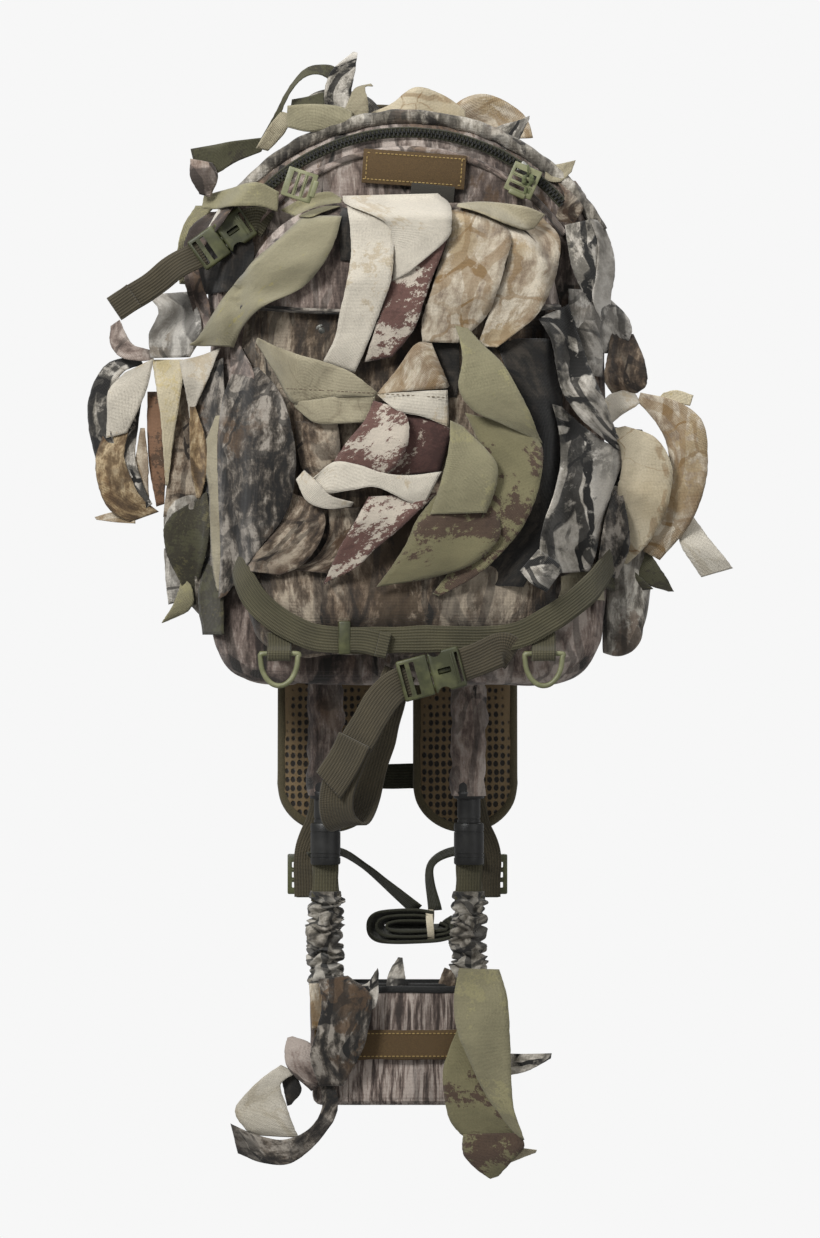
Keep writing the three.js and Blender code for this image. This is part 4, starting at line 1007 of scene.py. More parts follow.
def gathered_sleeve(name, centre, top, bottom, radius, seed):
    """An elastic sleeve whose cloth is gathered into deep uneven folds."""
    rows, sides = 76, 36
    corners, place = [], []
    for j in range(rows):
        share = j / (rows - 1)
        z = top + (bottom - top) * share
        for k in range(sides):
            turn = 2 * math.pi * k / sides
            around = Vector((math.cos(turn), math.sin(turn), 0))
            wave = noise.noise(Vector((around.x * 0.9, around.y * 0.9, z * 0.1 + seed)))
            fold = math.sin(2 * math.pi * (share * 7.5 + 0.22 * around.x + 1.3 * wave))
            pinch = min(1, share * 9, (1 - share) * 9)
            reach = radius * (0.74 + 0.26 * fold * pinch * 0.8 + 0.1 * wave)
            lean = 2.2 * noise.noise(Vector((seed, z * 0.04, 1)))
            dip = 2.6 * noise.noise(around * 1.3 + Vector((0, 0, z * 0.12 + seed))) * pinch
            corners.append((centre.x + around.x * reach + lean * pinch, centre.y + around.y * reach, z + dip))
            place.append((turn * radius * MM, z * 2.4 * MM))
    faces = [(j * sides + k, (j + 1) * sides + k, (j + 1) * sides + (k + 1) % sides,
              j * sides + (k + 1) % sides)
             for j in range(rows - 1) for k in range(sides)]
    faces = [tuple(reversed(face)) for face in faces]
    faces.append(tuple(range(sides)))
    faces.append(tuple(reversed(range((rows - 1) * sides, rows * sides))))
    piece = new_piece(name, corners, faces, place)
    edit_all(piece, bpy.ops.mesh.normals_make_consistent, inside=False)
    return piece


def pole(side):
    """One quiver pole: upper tube in its cloth sleeve, sliding lower tube, cap, tab and elastic sleeve."""
    body = f"{side}_pole"
    centre = middle(f"{side}_lower_tube")
    upper_low, upper_high = span(f"{side}_upper_tube")
    lower_low, lower_high = span(f"{side}_lower_tube")
    cap_low, cap_high = span(f"{side}_tube_cap")
    sleeve_low, sleeve_high = span(f"{side}_tube_sleeve")
    bore = (lower_high.x - lower_low.x) / 2
    outer = (upper_high.x - upper_low.x) / 2

    height = upper_high.z - upper_low.z
    upper = rod(f"{side}_upper_tube_drawn", (0, 0, (upper_high.z + upper_low.z) / 2), outer, height, sides=48)
    upper = carve(upper, rod("bore", (0, 0, (upper_high.z + upper_low.z) / 2), bore + 0.5, height + 2,
                             sides=48))
    dress(turned_about(upper, centre.x, centre.y), black_plastic, "black_plastic", "root",
          f"{side}_upper_tube")

    lower = rod(f"{side}_lower_tube_drawn", (0, 0, (lower_high.z + lower_low.z) / 2), bore,
                lower_high.z - lower_low.z, sides=48)
    tools = [rod("bore", (0, 0, lower_low.z + 200), bore - 2, 402, sides=32)]
    groove = rod("groove", (0, 0, lower_low.z + 14), bore + 2, 1.4, sides=48)
    tools.append(carve(groove, rod("core", (0, 0, lower_low.z + 14), bore - 0.7, 4, sides=48)))
    carve(lower, *tools)
    collar = rod("collar", (0, 0, upper_low.z + 2.8), outer + 0.6, 6, sides=48, soft=1)
    collar = carve(collar, rod("bore", (0, 0, upper_low.z + 2.8), bore + 0.7, 8, sides=48))
    dress(turned_about(lower, centre.x, centre.y), black_plastic, "black_plastic", body, f"{side}_lower_tube")
    collar.name = f"{side}_tube_collar"
    dress(turned_about(collar, centre.x, centre.y), black_plastic, "black_plastic", "root")

    cap_radius = (cap_high.x - cap_low.x) / 2
    cap = rod(f"{side}_tube_cap_moulded", (0, 0, (cap_low.z + cap_high.z) / 2), cap_radius,
              cap_high.z - cap_low.z, sides=48, soft=1.6)
    grooves = [carve(rod("groove", (0, 0, z), cap_radius + 2, 1.0, sides=48),
                     rod("core", (0, 0, z), cap_radius - 0.6, 3, sides=48))
               for z in (cap_low.z + 6, cap_low.z + 9, cap_high.z - 7)]
    socket = rod("socket", (0, 0, cap_high.z), bore + 0.25, 2 * (cap_high.z - lower_low.z), sides=48)
    carve(cap, *grooves, socket)
    dress(turned_about(cap, centre.x, centre.y), black_plastic, "black_plastic", body, f"{side}_tube_cap")

    rise = sleeve_high.z - sleeve_low.z
    line = [(centre.x, centre.y, sleeve_low.z + rise * share) for share in (0, 0.05, 0.3, 0.6, 0.95, 1)]
    sleeve = tube(f"{side}_tube_sleeve_cloth", line, outer + 2.0, 24, lumps=0.3)
    dress(sleeve, bag_cloth, "camo_cloth", "root", f"{side}_tube_sleeve")

    tab_low, tab_high = span(f"{side}_cap_webbing")
    for name, facing in (("cap_tab", -1), ("cap_tab_rear", 1)):
        x, y = centre.x, centre.y
        points = [(x, y + facing * 5, tab_high.z + 7), (x, y + facing * 3.4, tab_high.z),
                  (x, y + facing * 3, tab_low.z + 8, 19), (x, y + facing * 5, tab_low.z - 7, 21)]
        tab = web(f"{side}_{name}", points, Vector((0, facing, 0)), body, green_webbing, 2.4, cup=0.06)
        if facing < 0:
            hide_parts(f"{side}_cap_webbing")

    e_low, e_high = span(f"{side}_elastic_sleeve")
    gathered = gathered_sleeve(f"{side}_elastic_sleeve_cloth", centre, e_high.z + 1, e_low.z - 5,
                               (e_high.x - e_low.x) / 2 + 1.5, centre.x)
    dress(gathered, grey_sleeve_cloth, "camo_cloth", None, f"{side}_elastic_sleeve")
    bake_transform(gathered)


grey_sleeve_cloth = printed("gathered_camo_cloth", GREY_TONES, rgb(86, 82, 76), rgb(38, 37, 35), bark=0.4,
                            twigs=0.9)
for side in ("left", "right"):
    pole(side)


CUP_LOW, CUP_HIGH = span("cup_cover")


def arrow_cup():
    """The cloth cup with its black liner, foam and blank band."""
    low, high = CUP_LOW, CUP_HIGH
    shell = block("cup_cover_cloth", low + Vector((1, 1, 0)), high - Vector((1, 1, -3)), 7, 3)
    mouth = Vector((0, 0, high.z - 4)) * MM
    edit_all(shell, bpy.ops.mesh.bisect, plane_co=mouth, plane_no=UP, clear_outer=True)
    edit_all(shell, bpy.ops.mesh.subdivide, number_cuts=5)
    finish_modifier(shell, "SUBSURF", levels=1, render_levels=1)
    for corner in shell.data.vertices:
        at = corner.co / MM
        share = (high.z - at.z) / (high.z - low.z)
        out = Vector((at.x / 60, (at.y - (low.y + high.y) / 2) / 26, 0))
        puff = math.sin(math.pi * min(max(share, 0), 1)) * 1.6
        crease = 1.6 * noise.noise(Vector((at.x * 0.05, at.y * 0.05, at.z * 0.035)))
        corner.co += out * (puff + crease) * MM
    finish_modifier(shell, "SOLIDIFY", thickness=1.8 * MM, offset=-1)
    dress(settle(shell, angle=60), cup_cloth, "dark_cloth", "cup", "cup_cover")
    x, deep, y, z = high.x - 3, (high.y - low.y) / 2 - 3, (low.y + high.y) / 2, high.z - 3.4
    rim = [(-x, y - deep + 5, z), (-x + 5, y - deep, z), (-x / 2, y - deep - 1, z - 1),
           (0, y - deep - 1.5, z), (x / 2, y - deep - 1, z - 0.6),
           (x - 5, y - deep, z), (x, y - deep + 5, z), (x, y + deep - 5, z), (x - 5, y + deep, z),
           (0, y + deep + 1, z),
           (-x + 5, y + deep, z), (-x, y + deep - 5, z)]
    dress(tube("cup_rim_binding", rim, 2.8, 10, True), foam, "black_foam", "cup")

    low, high = span("cup_liner")
    liner = block("cup_liner_moulded", low, high + Vector((0, 0, 1)), 3, 2)
    low, high = low + Vector((4, 4, 3)), high - Vector((4, 4, -20))
    carve(liner, block("room", low, high, 2))
    dress(settle(liner), foam, "black_foam", "cup", "cup_liner")
    low, high = span("cup_foam")
    pad = block("cup_foam_block", low, high, 1.5)
    dress(settle(pad), foam, "black_foam", "cup", "cup_foam")
    low, high = span("cup_band")
    y = low.y
    band = ribbon("cup_band_cloth", [(x, y - 1.5 - 1.6 * math.cos(x / 42), (low.z + high.z) / 2, 23, 0)
                                     for x in np.linspace(low.x, high.x, 9)], FRONT, 1.4)[0]
    dress(band, label_cloth, "label_cloth", "cup", "cup_band")
    for k, z in enumerate((low.z + 3.2, high.z - 3.2)):
        stitches(f"cup_band_stitching_{k + 1}",
                 [(x, y - 2.6 - 1.6 * math.cos(x / 42), z) for x in np.linspace(low.x + 2, high.x - 2, 9)],
                 FRONT, gold_thread, "cup", "label_cloth", 3.2, 2.3, 0.42)


arrow_cup()


# ------------------------------------------------------------------ buckles and hardware
def buckle_frame(socket, tilt):
    """Where a side-release buckle's halves meet, from its socket's box."""
    turn = Matrix.Rotation(math.radians(tilt), 4, "Y")
    origin = middle(socket) - turn @ Vector((12, 0, 0))
    return Matrix.Translation(origin * MM) @ turn


def side_release(prefix, width, tilt, material, socket_body, plug_body):
    """A side-release buckle: a hollow socket with side windows, and a plug with sprung prongs."""
    place = buckle_frame(f"{prefix}_socket", tilt)
    half, thick = width / 2 + 3, 4.4
    shell = block(f"{prefix}_socket_moulded", (0, -thick, -half), (24, thick, half), 1.8, 3)
    tools = [block("mouth", (-2, -2.6, -half + 3), (20, 2.6, half - 3), 0.8)]
    for side in (-1, 1):
        tools.append(rod("thumb_window", (6.5, 0, side * (half + 1.5)), 5.4, 14, "Y", 28))
    tools.append(block("centre_window", (5, -6, -2.2), (15, -2, 2.2), 0.8))
    tools.append(block("strap_slot", (20.2, -6, -width / 2 + 1), (22.4, 6, width / 2 - 1), 0.5))
    carve(shell, *tools)
    ribs = [block("rib", (x, -thick - 0.7, -half + 4), (x + 1, -thick + 0.4, half - 4), 0.35)
            for x in (17, 19)]
    together(shell, *ribs)
    dress(settle(shell, place), material, "olive_plastic", socket_body, f"{prefix}_socket")

    base = block(f"{prefix}_plug_moulded", (-24, -3.4, -half), (-0.6, 3.4, half), 1.5, 3)
    slots = [block("slot", (x, -6, -width / 2), (x + 3.6, 6, width / 2), 0.5) for x in (-21.5, -14.5)]
    carve(base, *slots)
    prongs = []
    for side in (-1, 1):
        z = side * (half - 6)
        prongs.append(block("prong", (-3, -1.9, z - 1.6), (15, 1.9, z + 1.6), 0.7))
        prongs.append(rod("barb", (12.5, 0, z + side * 1.4), 3.3, 3.8, "Y", 24, 0.6))
    prongs.append(block("guide", (-3, -1.7, -1.5), (17, 1.7, 1.5), 0.6))
    together(base, *prongs)
    dress(settle(base, place), material, "olive_plastic", plug_body, f"{prefix}_plug")
    return place


belt_place = side_release("belt_buckle", 25, -15, plastic, "root", "belt_end")
side_place = side_release("side_buckle", 20, -35, plastic, "root", "side_strap")


def ladder_lock(name, place, material, slot_body, *replaced):
    """A flat ladder lock with three bars and a thumb tab."""
    plate = block(name, (-15.5, -2, -32), (15.5, 2, 0), 1.2, 2)
    carve(plate, *[block("slot", (-12, -5, z - 2.2), (12, 5, z + 2.2), 0.6) for z in (-8.6, -16.6, -24.6)])
    tab = block("tab", (-9, -4.4, -34.5), (9, -0.6, -29), 1.3, 3)
    ribs = [block("rib", (-12, -3, z - 0.6), (12, -1.4, z + 0.6), 0.3) for z in (-12.6, -20.6)]
    together(plate, tab, *ribs)
    return dress(settle(plate, place), material, "olive_plastic", slot_body, *replaced)


for side in ("left", "right"):
    low, high = span(f"{side}_ladder_lock")
    spot = Matrix.Translation(Vector(((low.x + high.x) / 2, (low.y + high.y) / 2, high.z)) * MM)
    ladder_lock(f"{side}_ladder_lock_moulded", spot, plastic, f"{side}_lock", f"{side}_ladder_lock")
small = Matrix.Scale(0.72, 4)
ladder_lock("shoulder_ladder_lock", Matrix.Translation(Vector((POCKET_X - 75, POCKET_LOW.y - 15, 160)) * MM)
            @ Matrix.Rotation(math.radians(-72), 4, "Y") @ Matrix.Translation(Vector((0, 0, 0.012))) @ small,
            pale_plastic, "flap")
ladder_lock("crown_ladder_lock", Matrix.Translation(Vector((POCKET_X + 97, BAG_LOW.y - 12, 178)) * MM)
            @ Matrix.Rotation(math.radians(24), 4, "Y") @ small, pale_plastic, "root")


def d_ring(side):
    """A moulded D-ring on its webbing tab."""
    low, high = span(f"{side}_d_ring")
    x, y = (low.x + high.x) / 2, (low.y + high.y) / 2
    half = (high.x - low.x) / 2 - 2
    bar_z = high.z - 2
    depth = high.z - low.z - 4
    outline = [(x - half, y, bar_z), (x, y, bar_z), (x + half, y, bar_z)]
    outline += [(x + half * math.cos(a), y, bar_z - 3 - (depth - 3) * math.sin(a))
                for a in np.linspace(0, math.pi, 9)]
    ring = tube(f"{side}_d_ring_moulded", outline, 2.0, 12, True, 5)
    dress(ring, pale_plastic, "olive_plastic", f"{side}_ring", f"{side}_d_ring")
    t_low, t_high = span(f"{side}_ring_tab")
    wide = t_high.x - t_low.x
    back = POCKET_LOW.y - 1
    tab = web(f"{side}_ring_tab_webbing", [(x, back, bar_z + 16, wide), (x, back - 3, bar_z + 6, wide),
                                           (x, y - 3.6, bar_z + 1, wide), (x, y - 1.6, bar_z - 4.4, wide),
                                           (x, y + 3.2, bar_z - 2.6, wide), (x, back - 0.6, bar_z + 5, wide)],
              [FRONT, FRONT, Vector((0, -1, 0.2)), Vector((0, -0.5, -1)), Vector((0, 0.8, -1)),
               Vector((0, 1, 0.2))],
              "root", green_webbing, 1.5)
    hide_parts(f"{side}_ring_tab")


for side in ("left", "right"):
    d_ring(side)


# ------------------------------------------------------------------ webbing straps
def compression_strap():
    low, high = span("compression_strap")
    y = low.y + 1.5
    run_z = low.z + 10
    left, right = low.x + 8, high.x - 2
    points = [(left - 6, BAG_LOW.y + 12, run_z + 66), (left, BAG_LOW.y - 14, run_z + 60),
              (left + 7, y + 10, run_z + 44), (left + 22, y + 2, run_z + 22),
              (left + 52, y, run_z + 3), (POCKET_X - 40, y, run_z - 2),
              (POCKET_X + 20, y, run_z - 1), (right - 82, y, run_z), (right - 50, y + 2, run_z + 14),
              (right - 22, y + 16, run_z + 34), (right - 5, BAG_LOW.y, run_z + 54),
              (right + 1, BAG_LOW.y + 20, run_z + 64)]
    looks = [Vector((-1, -0.3, 0)), Vector((-1, -0.6, 0)), Vector((-0.7, -1, 0)), Vector((-0.2, -1, 0)),
             FRONT, FRONT, FRONT, FRONT, Vector((0.1, -1, 0)), Vector((0.5, -1, 0)), Vector((1, -0.6, 0)),
             Vector((1, -0.2, 0))]
    strap = web("compression_strap_webbing", points, looks, "root", green_webbing)
    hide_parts("compression_strap")
    k_low, k_high = span("strap_keeper")
    keeper = block("strap_keeper_moulded", k_low, k_high, 1.4, 3)
    window = block("window", k_low + Vector((-2, 2.3, 2.4)), k_high + Vector((2, -2.3, -2.4)), 0.6)
    carve(keeper, window)
    dress(settle(keeper), plastic, "olive_plastic", "keeper", "strap_keeper")
    x = k_high.x
    web("compression_strap_end", [(x - 8, y - 1.9, run_z - 2, 19), (x + 10, y - 2.6, run_z - 2, 19),
                                  (x + 28, y - 3.4, run_z - 6, 19)], FRONT, "root", green_webbing)
    web("compression_strap_hem", [(x + 20, y - 4.8, run_z - 4.4, 19), (x + 28.5, y - 5.2, run_z - 6.4, 19)],
        FRONT, "root", green_webbing)


compression_strap()


def belt():
    """The belt's anchor, and its free end: a loop of webbing that hangs from the plug."""
    high = span("belt_anchor_strap")[1]
    start = belt_place @ (Vector((21, 0, 0)) * MM) / MM
    y = start.y
    anchor = web("belt_anchor_webbing", [(start.x, y, start.z, 25), (start.x + 14, y - 0.5, start.z + 5, 25),
                                         (start.x + 32, y + 5, start.z + 13, 25),
                                         (high.x, POCKET_LOW.y - 1.5, high.z - 14, 25)],
                 FRONT, "root")
    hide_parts("belt_anchor_strap")
    low, high = span("belt_tail")
    start = belt_place @ (Vector((-19, 0, 0)) * MM) / MM
    front_y, back_y = low.y + 2, high.y - 2
    drop = high.z - low.z
    loop = [(start.x + 3, start.y + 1, start.z + 1, 25), (start.x - 12, start.y - 1, start.z - 7, 25),
            (start.x - 28, front_y + 3, start.z - 0.27 * drop, 25),
            (start.x - 44, front_y, start.z - 0.55 * drop, 26, 6),
            (start.x - 53, front_y, start.z - 0.8 * drop, 26),
            (start.x - 49, front_y + 8, start.z - 0.97 * drop, 26, -12),
            (start.x - 38, back_y - 6, start.z - 0.96 * drop, 26, -14),
            (start.x - 30, back_y, start.z - 0.7 * drop, 25, -6),
            (start.x - 21, back_y, start.z - 0.4 * drop, 25),
            (start.x - 12, back_y, start.z - 0.1 * drop, 25),
            (start.x - 5, back_y + 1, start.z + 0.06 * drop, 25)]
    looks = [Vector((0, -1, 0))] * 4 + [Vector((-0.2, -1, -0.2)), Vector((-0.3, -0.8, -1)),
                                        Vector((0, 0.6, -1)),
                                        Vector((0, 1, -0.1))] + [Vector((0, 1, 0))] * 3
    tail = web("belt_tail_webbing", loop, looks, "belt_end")
    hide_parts("belt_tail")
    web("belt_tail_hem", [(start.x - 39, front_y - 2.4, start.z - 0.4 * drop, 26),
                          (start.x - 50, front_y - 4, start.z - 0.6 * drop, 26, 4),
                          (start.x - 60, front_y - 4, start.z - 0.74 * drop, 26, 4)],
        FRONT, "belt_end", slant=0.3)


belt()


def side_strap():
    low = span("side_strap_tail")[0]
    start = side_place @ (Vector((-18, 0, 0)) * MM) / MM
    tail = web("side_strap_webbing", [(start.x, start.y, start.z),
                                      (start.x - 18, start.y - 1, start.z - 9, 20, 8),
                                      (start.x - 38, start.y + 1, start.z - 24, 20, -6),
                                      (low.x - 6, start.y + 3, low.z + 6)],
               FRONT, "side_strap")
    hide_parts("side_strap_tail")
    web("side_strap_hem", [(low.x + 9, start.y + 0.2, low.z + 16), (low.x - 6.4, start.y + 1, low.z + 5.6)],
        FRONT, "side_strap")
    end = side_place @ (Vector((21, 0, 0)) * MM) / MM
    web("side_strap_anchor", [(end.x, end.y, end.z), (end.x + 9, end.y + 1, end.z + 2),
                              (end.x + 17, BAG_LOW.y - 2, end.z - 2)], FRONT, "root", green_webbing)


side_strap()


# ------------------------------------------------------------------ shoulder harness
def shoulder_pad(side):
    low, high = span(f"{side}_shoulder_pad")
    pad = swell(f"{side}_shoulder_pad", f"{side}_shoulder_pad_mesh", 4, 0, 3, 3.0, None, 0.3)
    dress(pad, spacer_mesh, "spacer_mesh", "harness", f"{side}_shoulder_pad")
    x, half = (low.x + high.x) / 2, (high.x - low.x) / 2 - 2.5
    bow = high.y - low.y - 12

    def depth(z):
        share = (high.z - z) / (high.z - low.z)
        return low.y + 6 + bow * math.sin(math.pi * min(share, 0.5)) if share < 0.5 else \
            low.y + 6 + bow * (1 - 2.0 * (share - 0.5) ** 2)

    arc = half - 3
    edge = [(x - half + 8, high.z - 1), (x - half, high.z - 12)]
    edge += [(x - half, z) for z in np.linspace(high.z - 60, low.z + arc + 10, 9)]
    edge += [(x - arc * math.cos(a) - 3 * math.cos(a), low.z + arc - (arc - 1) * math.sin(a))
             for a in np.linspace(0, math.pi, 9)]
    edge += [(x + half, z) for z in np.linspace(low.z + arc + 10, high.z - 60, 9)]
    edge += [(x + half, high.z - 12), (x + half - 8, high.z - 1)]
    rim = tube(f"{side}_pad_binding", [(px, depth(pz), pz) for px, pz in edge], 4.2, 10, True, 4)
    dress(rim, binding, "olive_webbing", "harness")


for side in ("left", "right"):
    shoulder_pad(side)


def yoke():
    low, high = span("harness_yoke")
    piece = block("harness_yoke_cloth", low, high, 4, 3)
    dress(settle(piece), webbing, "olive_webbing", "root", "harness_yoke")
    for k, z in enumerate((low.z + 5, high.z - 5)):
        stitches(f"yoke_stitching_{k + 1}", [(high.x - 6, high.y + 0.1, z), (0, high.y + 0.1, z),
                                             (low.x + 6, high.y + 0.1, z)],
                 -FRONT, thread, "root", "olive_webbing")


yoke()


def chest_strap():
    low, high = span("sternum_strap")
    y, z = (low.y + high.y) / 2, (low.z + high.z) / 2
    strap = web("chest_strap_webbing", [(low.x + 4, y + 1, z), (low.x / 2, y + 0.5, z - 2), (0, y, z - 3),
                                        (high.x / 2, y + 0.5, z - 2), (high.x - 4, y + 1, z)],
                -FRONT, "chest_strap", dark_webbing)
    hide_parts("sternum_strap")
    for side in (-1, 1):
        x = side * (high.x - 7)
        loop = carve(block(f"chest_strap_{'left' if side < 0 else 'right'}_clip", (x - 6, y - 3, z - 13),
                           (x + 6, y + 3.4, z + 13), 1.2),
                     block("slot", (x - 2, y - 8, z - 10), (x + 2, y + 8, z + 10), 0.5))
        dress(settle(loop), plastic, "olive_plastic", "chest_strap")
    slider = carve(block("chest_strap_slider", (13, y - 2.6, z - 15), (27, y + 2.8, z + 9), 1.2),
                   block("slot", (17, y - 8, z - 12), (22, y + 8, z + 6), 0.5))
    dress(settle(slider), black_plastic, "black_plastic", "chest_strap")


chest_strap()


def adjusters():
    """Adjuster webbing from the pads' tips through the ladder locks to the tied bundle."""
    for side, sign in (("left", -1), ("right", 1)):
        lock_low, lock_high = span(f"{side}_ladder_lock")
        pad_low, pad_high = span(f"{side}_shoulder_pad")
        pad_x = (pad_low.x + pad_high.x) / 2
        lock_x = (lock_low.x + lock_high.x) / 2
        y = lock_low.y - 2
        drop = web(f"{side}_adjuster_webbing",
                   [(pad_x + sign * 4, y - 2, pad_low.z + 26, 22),
                    (pad_x + sign * 9, y - 1, pad_low.z + 4, 21),
                    (lock_x, y, lock_high.z + 2),
                    (lock_x, y - 0.5, lock_low.z + 8),
                                                (lock_x, y - 1, lock_low.z - 2)], FRONT, "harness")
        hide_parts(f"{side}_adjuster_strap")
        tie_x = 16 if sign < 0 else 30
        middle_y = y - 12
        web(f"{side}_adjuster_tail",
            [(lock_x - sign * 3, y - 4, lock_high.z - 3, 16, 50),
             (lock_x - sign * 24, y - 9, lock_high.z + 3, 13, 62),
             (lock_x - sign * 46, middle_y, lock_high.z - 9, 12, 66),
             (tie_x, middle_y, lock_low.z - 12, 15, 50)],
            FRONT, "harness", dark_webbing, 1.5)
    band_low, band_high = span("bundle_band")
    centre = (band_low + band_high) / 2
    y = centre.y
    for k, (reach, deep) in enumerate(((40, 9.5), (34, 6.0), (27, 2.6))):
        x0, x1 = centre.x - reach - 6, centre.x + reach * 0.45
        z = centre.z
        points = [(centre.x + 2, y, z + deep * 0.8, 18), (centre.x - 14, y, z + deep, 18),
                  (x0 + 6, y, z + deep * 0.8, 18),
                  (x0, y, z, 18), (x0 + 6, y, z - deep * 0.9, 18), (centre.x - 10, y, z - deep, 18),
                  (x1 - 6, y, z - deep * 0.7, 18), (x1, y, z - 1, 18), (x1 - 5, y, z + deep * 0.6, 18)]
        looks = [UP, UP, Vector((-0.5, 0, 1)), Vector((-1, 0, 0)), Vector((-0.5, 0, -1)), -UP,
                 Vector((0.5, 0, -1)),
                 Vector((1, 0, 0)), Vector((0.5, 0, 1))]
        points = [(*point, 24 - 6 * k) for point in points]
        web(f"bundle_fold_{k + 1}", points, looks, "harness", dark_webbing, 2.0)
    x, half = centre.x, (band_high.z - band_low.z) / 2 + 0.5
    points = [(x + 0.6 * math.sin(a * 2), y + 10.8 * math.cos(a), centre.z + half * math.sin(a), 5.5, 0)
              for a in np.linspace(0, 2 * math.pi, 13)]
    looks = [Vector((0, math.cos(a), math.sin(a))) for a in np.linspace(0, 2 * math.pi, 13)]
    band = ribbon("bundle_band_rubber", points, looks, 1.2)[0]
    dress(band, rubber, "cream_rubber", "harness", "bundle_band")


adjusters()


# ------------------------------------------------------------------ camouflage strips
LEAST_FLAT = 0.0102
LEAST_COVER = 0.31
STRIP_STEP = 0.61
STRIP_THICKNESS = 0.8


def declare(width, length):
    """Works out a strip's flat width and length, each at least LEAST_FLAT, and two areas from them; nothing
    is kept or returned. Declares a strip as the flat cloth it is cut from, no slimmer than a sheet may be.
    """
    width, length = max(float(width), LEAST_FLAT), max(float(length), LEAST_FLAT)
    least, most = LEAST_COVER * width * length, width * length


def hang(row, body, anchor, surface, strips, seed):
    """Hangs a row of narrow strips with slanting ends. Each is (name, finish, points), and a point is
    (right of the anchor, above it, proud of the cloth, width), then a roll in degrees if it twists."""
    for k, (name, material, points) in enumerate(strips):
        line = []
        for across, above, proud, width, *roll in points:
            x, z = anchor[0] + across, anchor[1] + above
            line.append((x, surface(x, z) - proud, z, width, *(roll or [0])))
        turn = seed + STRIP_STEP * k
        piece, width, length, area = ribbon(f"{row}_{name}", line, FRONT, STRIP_THICKNESS, 0.035, 5.5, 0.8,
                                            turn)
        dress(piece, material, "strip_cloth", body)
        declare(width, length)


def drape(row, body, anchor, drawn, surface, strips, seed, *replaced):
    """Hangs a row of broad strips. Each is (name, finish, points), and a point is the strip's two edges,
    (x, z) twice, and how proud of the cloth its middle lies. The points are in the pack's millimetres
    with the anchor where it is drawn, and move along with the anchor."""
    moved = np.array([anchor[0] - drawn[0], anchor[1] - drawn[1]] * 2 + [0])
    for k, (name, material, points) in enumerate(strips):
        turn = seed + STRIP_STEP * k
        edges = smooth_line(points, 8) + moved
        rows = len(edges)
        corners, place = [], []
        gone = np.r_[0, np.cumsum(np.hypot(*np.diff((edges[:, :2] + edges[:, 2:4]) / 2, axis=0).T))]
        for i, (left_x, left_z, right_x, right_z, proud) in enumerate(edges):
            lean = 9 * noise.noise(Vector((turn * 3.1, gone[i] * 0.012, 0.3)))
            broad = math.hypot(right_x - left_x, right_z - left_z)
            for s in np.linspace(0, 1, ACROSS):
                x, z = left_x + (right_x - left_x) * s, left_z + (right_z - left_z) * s
                spot = Vector((s * broad * 0.022 + turn, gone[i] * 0.016, turn * 1.7))
                fold = 1 - 2.6 * abs(noise.noise(spot))
                wave = noise.noise(Vector((x * 0.05, z * 0.05, turn)))
                out = proud + lean * (s - 0.5) + 2.6 * fold + 1.6 * wave
                frayed = 0.5 * noise.noise(Vector((gone[i] * 0.5, turn, round(s) * 5)))
                corners.append((x + frayed, surface(x, z) - out, z))
                place.append((s * broad * MM + turn * 0.37, gone[i] * MM + turn * 0.71))
        piece = new_piece(f"{row}_{name}", corners, grid_faces(rows, ACROSS), place)
        grid = np.array(corners).reshape(rows, ACROSS, 3) * MM
        width = np.linalg.norm(np.diff(grid, axis=1), axis=2).sum(axis=1).max()
        length = np.linalg.norm(np.diff(grid, axis=0), axis=2).sum(axis=0).max()
        finish_modifier(piece, "SOLIDIFY", thickness=STRIP_THICKNESS * MM, offset=0)
        dress(piece, material, "strip_cloth", body)
        declare(width, length)
        if k == 0:
            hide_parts(*replaced)


